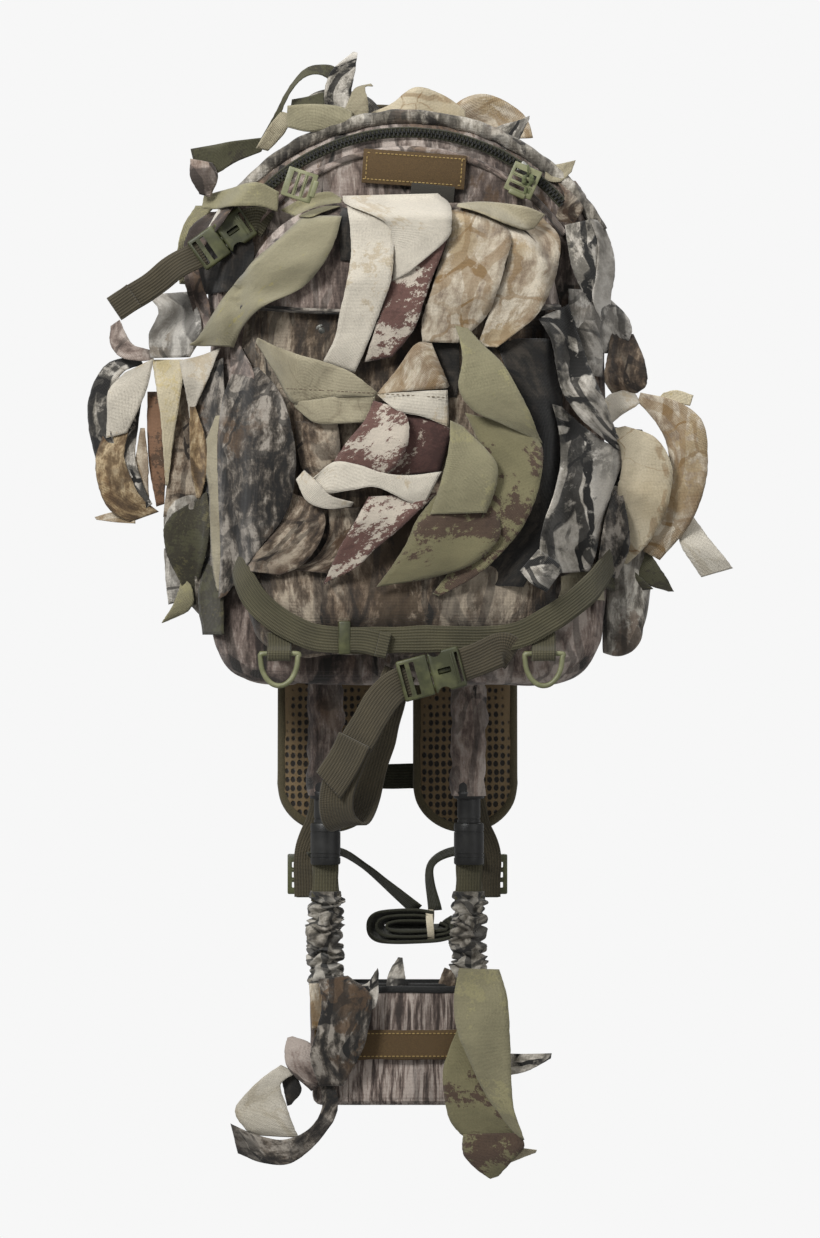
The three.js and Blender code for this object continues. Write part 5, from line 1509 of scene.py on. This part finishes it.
flap_anchor = (POCKET_X, FLAP_HIGH.z)
drape("flap_strip", "flap", flap_anchor, (8, 149), pocket_front, [
    ("big_olive", olive_leaf, [(-66, 138, -36, 137, 12), (-86, 117, -41, 118, 16),
        (-105, 102, -51, 99, 19), (-122, 83, -66, 83, 18), (-137, 62, -92, 70, 27),
        (-147, 49, -110, 56, 25), (-153, 45, -118, 41, 18)]),
    ("olive_fold", plain_leaf, [(-38, 146, -36, 153, 14), (-50, 141, -44, 158, 18),
        (-60, 137, -52, 158, 19), (-72, 140, -62, 155, 18), (-83, 145, -68, 153, 16)]),
    # painted shade: a near-black strip in the shade under the strips around it
    ("painted_shade_tab", shade_leaf, [(-36, 150, -28, 150, 9), (-38, 128, -28, 128, 10), (-37, 104, -28, 104, 8)]),
    ("cream", cream_leaf, [(-33, 152, 6, 152, 14), (-30, 130, 5, 130, 18), (-29, 108, 3, 110, 21),
        (-32, 88, 1, 88, 23), (-37, 66, -7, 66, 22), (-41, 46, -15, 45, 19), (-50, 28, -26, 20, 15)]),
    ("maroon", maroon_leaf, [(2, 134, 45, 132, 15), (3, 112, 41, 114, 19), (1, 90, 32, 92, 21),
        (-4, 72, 26, 74, 21), (-11, 53, 18, 52, 18), (-19, 28, 2, 32, 13)]),
    ("cream_brow", cream_leaf, [(-36, 155, 36, 157, 17), (-32, 147, 45, 147, 21), (-2, 130, 46, 130, 23),
        (2, 108, 42, 118, 22), (2, 88, 14, 94, 21)]),
    ("tan", tan_leaf, [(44, 142, 74, 146, 11), (43, 120, 90, 122, 15), (36, 98, 86, 100, 18),
        (30, 78, 80, 80, 19), (24, 60, 72, 62, 17), (24, 43, 51, 42, 14)]),
    ("tan_outer", tan_leaf, [(62, 142, 116, 139, 4), (84, 126, 128, 124, 13), (88, 106, 127, 104, 16),
        (80, 84, 120, 82, 17), (74, 64, 110, 63, 15), (67, 44, 92, 48, 12), (68, 40, 80, 39, 11)]),
    ("khaki_fold", khaki_leaf, [(50, 145, 51, 148, 20), (66, 140, 68, 150, 24), (84, 132, 88, 149, 25),
        (100, 128, 104, 146, 24), (108, 130, 117, 141, 20)]),
], 1.0, "flap_strips")

pocket_anchor = (POCKET_X, POCKET_LOW.z)
drape("front_strip", "root", pocket_anchor, (8, -195), pocket_front, [
    ("shadow", shade_leaf, [(78, 46, 122, 46, 3), (88, 20, 128, 20, 5), (100, -20, 131, -20, 6),
        (100, -60, 128, -60, 6), (88, -100, 119, -100, 5), (60, -138, 100, -140, 4)]),
    # painted shade: a near-black strip in the shade under the strips around it
    ("painted_shade_gap", shade_leaf, [(28, 42, 52, 44, 6), (36, 18, 52, 18, 7), (40, 2, 50, 2, 6)]),
    ("grey_bit", pale_leaf, [(-121, 46, -113, 42, 12), (-121, 26, -102, 20, 13), (-124, 8, -104, 8, 10)]),
    ("charcoal", dark_leaf, [(-119, 22, -98, 24, 11), (-126, 4, -82, 5, 17), (-130, -25, -73, -22, 21),
        (-130, -55, -70, -52, 22), (-129, -85, -77, -84, 20), (-128, -114, -98, -112, 16),
        (-130, -149, -124, -146, 11)]),
    ("brown_middle", brown_leaf, [(-71, -16, -39, -17, 8), (-69, -38, -37, -38, 11),
        (-64, -58, -40, -50, 10), (-57, -64, -50, -62, 8)]),
    ("brown", brown_leaf, [(-73, -70, -52, -78, 10), (-80, -90, -48, -92, 15), (-92, -106, -54, -110, 16),
        (-104, -120, -66, -124, 12), (-107, -128, -82, -131, 9)]),
    ("bark_bit", brown_leaf, [(-46, -82, -22, -80, 7), (-46, -102, -28, -98, 10),
        (-58, -120, -38, -118, 10), (-76, -127, -46, -130, 7)]),
    ("khaki", khaki_leaf, [(-11, 2, -9, 5, 12), (-30, 2, -29, 20, 17), (-50, 0, -50, 28, 19),
        (-72, -3, -68, 33, 19), (-85, 18, -84, 39, 16), (-100, 43, -99, 46, 11)]),
    ("khaki_low", khaki_leaf, [(-14, -17, -11, 3, 13), (-34, -18, -34, 3, 16), (-55, -18, -55, 0, 16),
        (-71, -6, -72, -2, 12)]),
    ("tan", tan_leaf, [(-9, 5, -8, 4, 13), (5, 22, 12, 6, 18), (19, 41, 40, 8, 18), (31, 42, 44, 10, 14)]),
    ("cream_low", cream_leaf, [(-9, 4, -9, 3, 14), (8, 5, 6, -9, 18), (25, 6, 24, -13, 19),
        (43, 7, 44, -21, 15)]),
    # painted shade: the cream and maroon cloth printed darker where this strip lies in shade
    ("maroon_in_painted_shade", painted_shade_maroon_leaf, [(9, -10, 28, -14, 14), (11, -24, 45, -22, 16),
        (6, -42, 42, -38, 16), (-5, -58, 38, -54, 13)]),
    ("maroon", maroon_leaf, [(-12, -1, 4, -6, 16), (-19, -16, 13, -14, 20), (-32, -32, 14, -30, 22),
        (-42, -47, 8, -46, 21), (-44, -56, -4, -58, 17)]),
    ("cream_cross", cream_leaf, [(-60, -61, -57, -59, 16), (-48, -70, -42, -47, 21),
        (-28, -68, -24, -49, 24), (-10, -66, -6, -55, 25), (12, -76, 14, -57, 23),
        (24, -82, 39, -54, 20)]),
    ("cream_bit", cream_leaf, [(-70, -60, -64, -53, 19), (-62, -76, -54, -62, 23),
        (-47, -82, -44, -72, 22), (-29, -80, -27, -77, 18)]),
    ("maroon_tip", maroon_leaf, [(-16, -73, 35, -70, 20), (-23, -86, 20, -85, 23), (-31, -100, 5, -99, 22),
        (-39, -114, -10, -111, 19), (-45, -127, -26, -126, 15), (-50, -139, -48, -136, 11)]),
    ("green_outer", green_leaf, [(56, -10, 104, -22, 16), (66, -32, 114, -38, 21), (76, -58, 111, -66, 23),
        (70, -84, 101, -92, 22), (60, -106, 85, -113, 18), (46, -126, 64, -132, 14),
        (32, -145, 37, -147, 10)]),
    ("green_low", green_leaf, [(34, -72, 76, -70, 18), (20, -90, 82, -90, 22), (12, -108, 80, -106, 22),
        (2, -124, 60, -124, 18), (-10, -140, 28, -134, 13)]),
    ("green_middle", plain_leaf, [(45, -16, 54, -20, 22), (44, -36, 72, -38, 27), (39, -58, 80, -50, 29),
        (34, -74, 79, -66, 28), (30, -86, 72, -85, 25)]),
    ("green_top", plain_leaf, [(48, 57, 54, 58, 16), (52, 44, 68, 42, 23), (54, 28, 84, 26, 27),
        (51, 8, 97, 4, 28), (62, -9, 105, -12, 26), (84, -19, 110, -25, 22), (111, -31, 114, -33, 17)]),
], 2.3, "front_strips")

left_anchor = (BAG_LOW.x, BAG_LOW.z)
drape("left_strip", "root", left_anchor, (-142, -217), pocket_front, [
    ("rust", rust_leaf, [(-191, 10, -181, 10, 4), (-191, -20, -179, -20, 8), (-189, -50, -177, -50, 8),
        (-184, -78, -178, -76, 4)]),
    ("rust_dark", brown_leaf, [(-166, 26, -159, 22, 5), (-171, -10, -156, -8, 8),
        (-174, -44, -154, -44, 9), (-179, -86, -150, -82, 7)]),
    ("inner_shade", shade_leaf, [(-150, 134, -112, 134, 2), (-152, 110, -108, 112, 3),
        (-150, 84, -118, 84, 2)]),
    ("dark_low", dark_leaf, [(-154, 24, -132, 34, 4), (-156, -8, -130, -6, 6), (-152, -40, -130, -40, 6),
        (-160, -90, -130, -90, 6), (-156, -130, -132, -130, 5)]),
    ("grey_outer", grey_leaf, [(-198, 38, -194, 31, 5), (-222, 31, -210, 24, 9), (-235, 8, -218, 4, 11),
        (-236, -16, -218, -20, 11), (-230, -44, -212, -42, 8)]),
    ("outer_loop", cream_leaf, [(-208, 24, -186, 35, 13), (-220, 10, -190, 14, 17),
        (-221, -8, -198, -6, 17), (-222, -26, -206, -22, 14)]),
    ("outer_tan", bark_tan_leaf, [(-224, -22, -205, -20, 13), (-230, -42, -208, -40, 15),
        (-228, -62, -203, -56, 15), (-220, -80, -196, -70, 13), (-204, -90, -182, -82, 9)]),
    ("frayed_tip", tan_leaf, [(-200, -82, -200, -91, 10), (-216, -82, -216, -90, 9),
        (-231, -86, -230, -88, 6)]),
    ("inner_loop", grey_leaf, [(-199, 4, -195, 4, 7), (-205, -16, -198, -18, 10),
        (-209, -38, -200, -40, 12), (-205, -60, -193, -64, 11), (-193, -80, -187, -76, 7)]),
    ("inner_leaf", tan_leaf, [(-196, -18, -193, -18, 8), (-200, -44, -190, -44, 10),
        (-199, -60, -190, -64, 9), (-191, -78, -189, -78, 6)]),
    ("yellow", yellow_leaf, [(-187, 34, -163, 34, 14), (-183, 10, -164, 14, 18),
        (-180, -14, -168, -12, 17), (-178, -40, -172, -38, 13), (-177, -62, -175, -62, 10)]),
    ("yellow_inner", cream_leaf, [(-166, 33, -134, 41, 13), (-163, 18, -144, 18, 17),
        (-160, 2, -153, 0, 14), (-158, -14, -157, -14, 11)]),
    ("khaki", bark_tan_leaf, [(-158, -2, -154, -2, 14), (-158, -28, -146, -26, 17),
        (-157, -52, -145, -52, 16), (-153, -72, -150, -72, 12)]),
    ("khaki_inner", khaki_leaf, [(-137, -10, -132, -10, 14), (-148, -38, -132, -36, 17),
        (-143, -64, -130, -64, 16), (-142, -96, -130, -98, 15), (-140, -124, -128, -124, 12),
        (-136, -143, -131, -141, 9)]),
    ("grey_low", grey_leaf, [(-178, -110, -166, -114, 5), (-177, -134, -162, -136, 7),
        (-175, -153, -165, -150, 5)]),
    ("dark_olive", dark_green_leaf, [(-148, -120, -129, -130, 7), (-152, -148, -131, -150, 10),
        (-148, -176, -131, -176, 7)]),
    ("olive", dark_green_leaf, [(-172, -84, -145, -67, 13), (-178, -96, -142, -92, 17),
        (-175, -116, -146, -116, 16), (-166, -135, -152, -136, 12), (-158, -153, -152, -153, 8)]),
    ("olive_tip", plain_leaf, [(-164, -131, -157, -138, 11), (-168, -146, -155, -150, 13),
        (-174, -158, -160, -158, 11), (-180, -167, -175, -165, 7)]),
    ("curl", pale_leaf, [(-219, 60, -212, 65, 8), (-219, 46, -208, 56, 11), (-211, 36, -202, 46, 12),
        (-197, 33, -194, 43, 12), (-186, 34, -186, 41, 9)]),
    ("grey_high", grey_white_leaf, [(-191, 84, -160, 86, 11), (-182, 71, -152, 73, 16),
        (-189, 53, -149, 53, 18), (-188, 35, -158, 36, 14)]),
    ("looped", pale_leaf, [(-143, 147, -124, 146, 12), (-158, 134, -134, 132, 16),
        (-164, 112, -151, 112, 18), (-161, 90, -148, 90, 17), (-156, 72, -143, 76, 14),
        (-152, 52, -141, 56, 11)]),
    ("olive_high", plain_leaf, [(-154, 152, -138, 152, 10), (-164, 134, -156, 132, 13),
        (-168, 112, -160, 112, 12), (-166, 92, -161, 92, 9)]),
    ("olive_roll", plain_leaf, [(-149, 149, -147, 159, 20), (-125, 147, -125, 164, 26),
        (-104, 147, -104, 165, 24), (-90, 143, -89, 158, 24)]),
], 4.1, "left_strips", "shoulder_strips")

right_anchor = (BAG_HIGH.x, BAG_LOW.z)
drape("right_strip", "root", right_anchor, (158, -217), pocket_front, [
    ("grey_crown", brown_leaf, [(121, 171, 137, 172, -3), (127, 156, 145, 158, 0), (121, 142, 143, 150, 0),
        (130, 131, 133, 133, -3)]),
    ("bark_high", grey_leaf, [(127, 134, 148, 139, 8), (129, 120, 152, 122, 13), (132, 102, 152, 104, 14),
        (138, 88, 150, 88, 12), (146, 76, 156, 76, 8)]),
    ("grey_edge", grey_white_leaf, [(146, 139, 156, 138, 9), (152, 122, 164, 118, 15),
        (151, 98, 166, 100, 16), (148, 80, 163, 80, 13), (155, 62, 166, 64, 8)]),
    ("grey_back", grey_white_leaf, [(130, 86, 158, 84, 6), (130, 68, 174, 70, 10), (132, 52, 180, 56, 9),
        (140, 36, 172, 40, 6)]),
    ("grey_mid", grey_white_leaf, [(122, 62, 150, 62, 8), (130, 40, 156, 42, 10), (136, 20, 156, 20, 8)]),
    ("bark_bit", brown_leaf, [(164, 54, 181, 54, 8), (160, 34, 189, 34, 13), (158, 18, 191, 16, 13),
        (166, 6, 184, 9, 8)]),
    ("yellow_bit", yellow_leaf, [(200, 5, 204, 9, 8), (214, 1, 214, 11, 10), (224, -1, 227, 7, 7)]),
    ("cream_fold", cream_leaf, [(152, -10, 162, -16, 12), (160, 5, 172, -8, 16), (170, 10, 182, -2, 15),
        (180, 11, 186, 2, 11)]),
    ("shadow", shade_leaf, [(166, -17, 188, -19, 1), (160, -40, 194, -40, 3), (158, -90, 190, -100, 4),
        (152, -126, 176, -128, 3)]),
    ("tan_loop", tan_leaf, [(184, 2, 186, 9, 11), (196, -12, 214, 2, 17), (205, -28, 233, -14, 20),
        (208, -48, 237, -44, 20), (206, -70, 233, -70, 19), (200, -90, 222, -94, 15),
        (188, -112, 201, -119, 9)]),
    ("white_tip", pale_cream_leaf, [(214, -92, 227, -86, 5), (217, -108, 240, -104, 9),
        (226, -122, 250, -116, 8), (233, -132, 257, -125, 5)]),
    ("olive_bit", dark_green_leaf, [(168, -112, 190, -106, 4), (180, -130, 198, -120, 8),
        (192, -138, 206, -132, 7), (208, -143, 212, -143, 4)]),
    ("olive_dark", dark_green_leaf, [(152, -118, 172, -116, 6), (156, -138, 184, -130, 9),
        (170, -144, 196, -141, 6)]),
    ("cream_loop", light_tan_leaf, [(160, -20, 174, -17, 20), (169, -32, 197, -26, 25),
        (171, -48, 209, -46, 27), (168, -64, 209, -64, 26), (166, -80, 204, -84, 24),
        (164, -98, 192, -106, 19), (158, -118, 176, -122, 13)]),
    ("dark_bark", dark_leaf, [(165, -66, 172, -70, 26), (158, -88, 176, -90, 29),
        (154, -110, 177, -110, 25), (152, -130, 168, -133, 16)]),
    ("twist_low", grey_leaf, [(117, -3, 124, -4, 14), (122, -22, 150, -26, 21), (123, -45, 171, -38, 26),
        (118, -70, 163, -68, 26), (110, -92, 156, -92, 23), (107, -112, 151, -112, 18),
        (112, -130, 146, -128, 13)]),
    ("twisted", grey_leaf, [(106, 60, 130, 74, 12), (116, 44, 138, 48, 20), (120, 24, 146, 24, 25),
        (125, 6, 156, 4, 28), (141, -16, 166, -20, 28), (169, -36, 173, -34, 23)]),
    ("twist_tip", grey_leaf, [(92, -128, 106, -112, 15), (101, -138, 118, -120, 19),
        (112, -144, 125, -126, 14)]),
    ("low_khaki", khaki_leaf, [(124, -132, 150, -122, 6), (124, -142, 156, -136, 9),
        (122, -148, 158, -150, 6)]),
], 6.7, "right_strips")


def crown_front(x, z):
    """Where the top strips stand at every place: on the arch, a little behind its front edge."""
    return (PIPING_LOW.y + PIPING_HIGH.y) / 2 + 6


top_anchor = (BAG_X, CROWN_Z)
drape("top_strip", "root", top_anchor, (8, 221), crown_front, [
    ("thin_loop", dark_green_leaf, [(-97, 198, -104, 200, 5), (-90, 216, -94, 218, 7),
        (-81, 236, -84, 237, 8), (-70, 248, -72, 253, 7), (-58, 250, -60, 258, 6), (-50, 243, -46, 255, 4),
        (-57, 230, -50, 234, 2)]),
    ("loop_back", dark_green_leaf, [(-81, 224, -80, 232, 1), (-68, 224, -68, 234, 3),
        (-55, 226, -55, 238, 1)]),
    ("bark_tip", grey_leaf, [(-54, 220, -36, 220, 2), (-55, 238, -35, 236, 5), (-49, 254, -32, 252, 5),
        (-33, 268, -30, 267, 3)]),
    ("khaki", olive_leaf, [(-84, 210, -83, 226, 9), (-66, 206, -66, 227, 13), (-48, 209, -46, 226, 12),
        (-34, 213, -34, 222, 8)]),
    ("beige_side", khaki_leaf, [(-107, 194, -98, 192, 8), (-96, 212, -85, 206, 9),
        (-88, 222, -80, 220, 7)]),
    ("beige_tip", khaki_leaf, [(-45, 214, -21, 214, 2), (-37, 230, -22, 230, 6), (-32, 240, -24, 241, 5),
        (-20, 244, -18, 242, 3)]),
    ("tan_mound", light_tan_leaf, [(-23, 210, -19, 223, -3), (-4, 211, -4, 229, 1), (14, 211, 14, 241, 3),
        (34, 208, 34, 236, 2), (54, 202, 52, 224, -1)]),
    ("grey_tip", grey_leaf, [(62, 196, 64, 204, 4), (78, 192, 80, 212, 7), (91, 198, 91, 215, 6),
        (100, 216, 101, 219, 4)]),
    ("flat_olive", dark_green_leaf, [(-103, 192, -99, 203, 3), (-122, 184, -122, 200, 5),
        (-138, 175, -138, 197, 5), (-153, 177, -157, 194, 3)]),
    ("pale_leaf", pale_leaf, [(-157, 186, -140, 183, 8), (-157, 172, -136, 172, 10),
        (-150, 159, -142, 157, 7)]),
    ("right_beige", khaki_leaf, [(112, 169, 113, 180, 10), (124, 168, 124, 182, 12),
        (133, 176, 136, 185, 10)]),
], 9.3, "top_strips")
hang("top_rear_strip", "root", top_anchor, crown_front, [
    ("rear_grey", grey_leaf, [(-30, -4, -40, 30), (-44, 6, -42, 34, 10), (-66, 10, -44, 26),
                              (-84, 2, -42, 12)]),
    ("rear_tan", tan_leaf, [(40, -8, -40, 34), (58, 2, -44, 36, 10), (80, -4, -44, 26), (92, -18, -42, 12)]),
], 9.9)


def cup_front(x, z):
    """Where the cup's strips lie at every place: just off the cup's front."""
    return CUP_LOW.y - 3


cup_anchor = ((CUP_LOW.x + CUP_HIGH.x) / 2, CUP_HIGH.z)
drape("cup_strip", "cup", cup_anchor, (0, -448), cup_front, [
    ("face", tan_leaf, [(-68, -446, -56, -446, 3), (-67, -462, -52, -464, 5), (-66, -482, -54, -480, 3)]),
    ("charcoal", dark_leaf, [(-61, -443, -38, -440, 6), (-58, -462, -20, -455, 13),
        (-62, -482, -22, -480, 16), (-67, -502, -28, -500, 15), (-60, -525, -42, -525, 9)]),
    ("point", grey_leaf, [(-37, -446, -35, -462, 8), (-24, -446, -17, -464, 10),
        (-15, -434, -14, -438, 6)]),
    # painted shade: a near-black strip in the shade behind the strips around it
    ("painted_shade_back", shade_leaf, [(-90, -519, -79, -516, 2), (-87, -532, -74, -529, 3),
        (-85, -541, -82, -540, 2)]),
    ("cream_ribbon", pale_cream_leaf, [(-90, -509, -78, -515, 5), (-107, -521, -90, -524, 10),
        (-125, -542, -86, -538, 13), (-118, -557, -81, -553, 12), (-112, -563, -76, -565, 8)]),
    ("grey_curl", pale_leaf, [(-85, -488, -81, -487, 5), (-87, -500, -66, -493, 10),
        (-83, -513, -60, -509, 12), (-66, -529, -60, -525, 7)]),
    ("bark_ribbon", dark_leaf, [(-60, -518, -50, -520, 4), (-58, -541, -46, -544, 8),
        (-68, -558, -61, -568, 11), (-88, -566, -82, -584, 14), (-110, -562, -104, -584, 13),
        (-129, -554, -123, -577, 8)]),
    ("inner_fold", green_leaf, [(46, -482, 51, -482, 6), (36, -510, 59, -510, 9), (36, -530, 71, -534, 10),
        (41, -552, 86, -552, 10), (54, -567, 97, -565, 8)]),
    ("olive", plain_leaf, [(48, -434, 79, -435, 8), (44, -456, 85, -456, 14), (46, -481, 87, -482, 17),
        (57, -508, 88, -512, 17), (71, -536, 90, -541, 15), (94, -566, 98, -566, 10)]),
    ("foot", green_leaf, [(51, -562, 96, -561, 10), (51, -577, 98, -572, 12), (61, -589, 88, -584, 9),
        (72, -597, 78, -595, 5)]),
    ("foot_tip", khaki_leaf, [(84, -572, 84, -586, 7), (96, -573, 96, -581, 7),
        (108, -575, 107, -577, 4)]),
    ("grey_tip", grey_leaf, [(86, -501, 86, -518, -2), (102, -501, 101, -514, 1),
        (120, -501, 119, -504, 0)]),
    ("rear_tip", grey_leaf, [(-9, -458, 9, -458, -8), (-7, -440, 6, -440, -7), (1, -427, 4, -427, -9)]),
    ("brown_tip", brown_leaf, [(30, -454, 45, -450, -8), (34, -442, 45, -442, -7),
        (37, -435, 42, -437, -9)]),
], 12.9, "cup_strips")

stitches("khaki_strip_stitching", [(POCKET_X - 90, pocket_front(-80, 6) - 21, 8),
                                   (POCKET_X - 50, pocket_front(-40, 6) - 21, 6),
                                   (POCKET_X + 34, pocket_front(30, 2) - 21, 1)], FRONT, thread, "root",
         "strip_cloth", 3.4, 2.4, 0.4)


# ------------------------------------------------------------------ light and surround
def soft_light(name, place, target, size, power):
    data = bpy.data.lights.new(name, "AREA")
    data.shape = "RECTANGLE"
    data.size, data.size_y = size
    data.energy = power
    lamp = bpy.data.objects.new(name, data)
    lamp.location = place
    lamp.rotation_euler = (Vector(target) - Vector(place)).to_track_quat("-Z", "Y").to_euler()
    bpy.context.scene.collection.objects.link(lamp)


soft_light("key_light", (-1.5, -2.4, 1.7), (0, 0, -0.1), (0.9, 0.9), 98)
soft_light("fill_light", (2.2, -2.2, 0.5), (0, 0, -0.2), (1.6, 2.0), 12)
soft_light("top_light", (0.2, -0.4, 2.4), (0, 0, 0), (1.6, 1.2), 28)
soft_light("back_light", (0.6, 2.6, 1.2), (0, 0, -0.1), (1.4, 1.4), 34)


def studio():
    """Even white light all round, behind which the camera sees plain pale paper."""
    world = bpy.data.worlds.new("studio")
    bpy.context.scene.world = world
    world.use_nodes = True
    nodes, links = world.node_tree.nodes, world.node_tree.links
    glow, paper = nodes["Background"], nodes.new("ShaderNodeBackground")
    glow.inputs["Color"].default_value = (1, 1, 1, 1)
    glow.inputs["Strength"].default_value = 0.36
    paper.inputs["Color"].default_value = rgb(247, 247, 247)
    rays, either = nodes.new("ShaderNodeLightPath"), nodes.new("ShaderNodeMixShader")
    links.new(rays.outputs["Is Camera Ray"], either.inputs[0])
    links.new(glow.outputs[0], either.inputs[1])
    links.new(paper.outputs[0], either.inputs[2])
    links.new(either.outputs[0], nodes["World Output"].inputs["Surface"])


studio()
bpy.context.scene.view_settings.view_transform = "Standard"
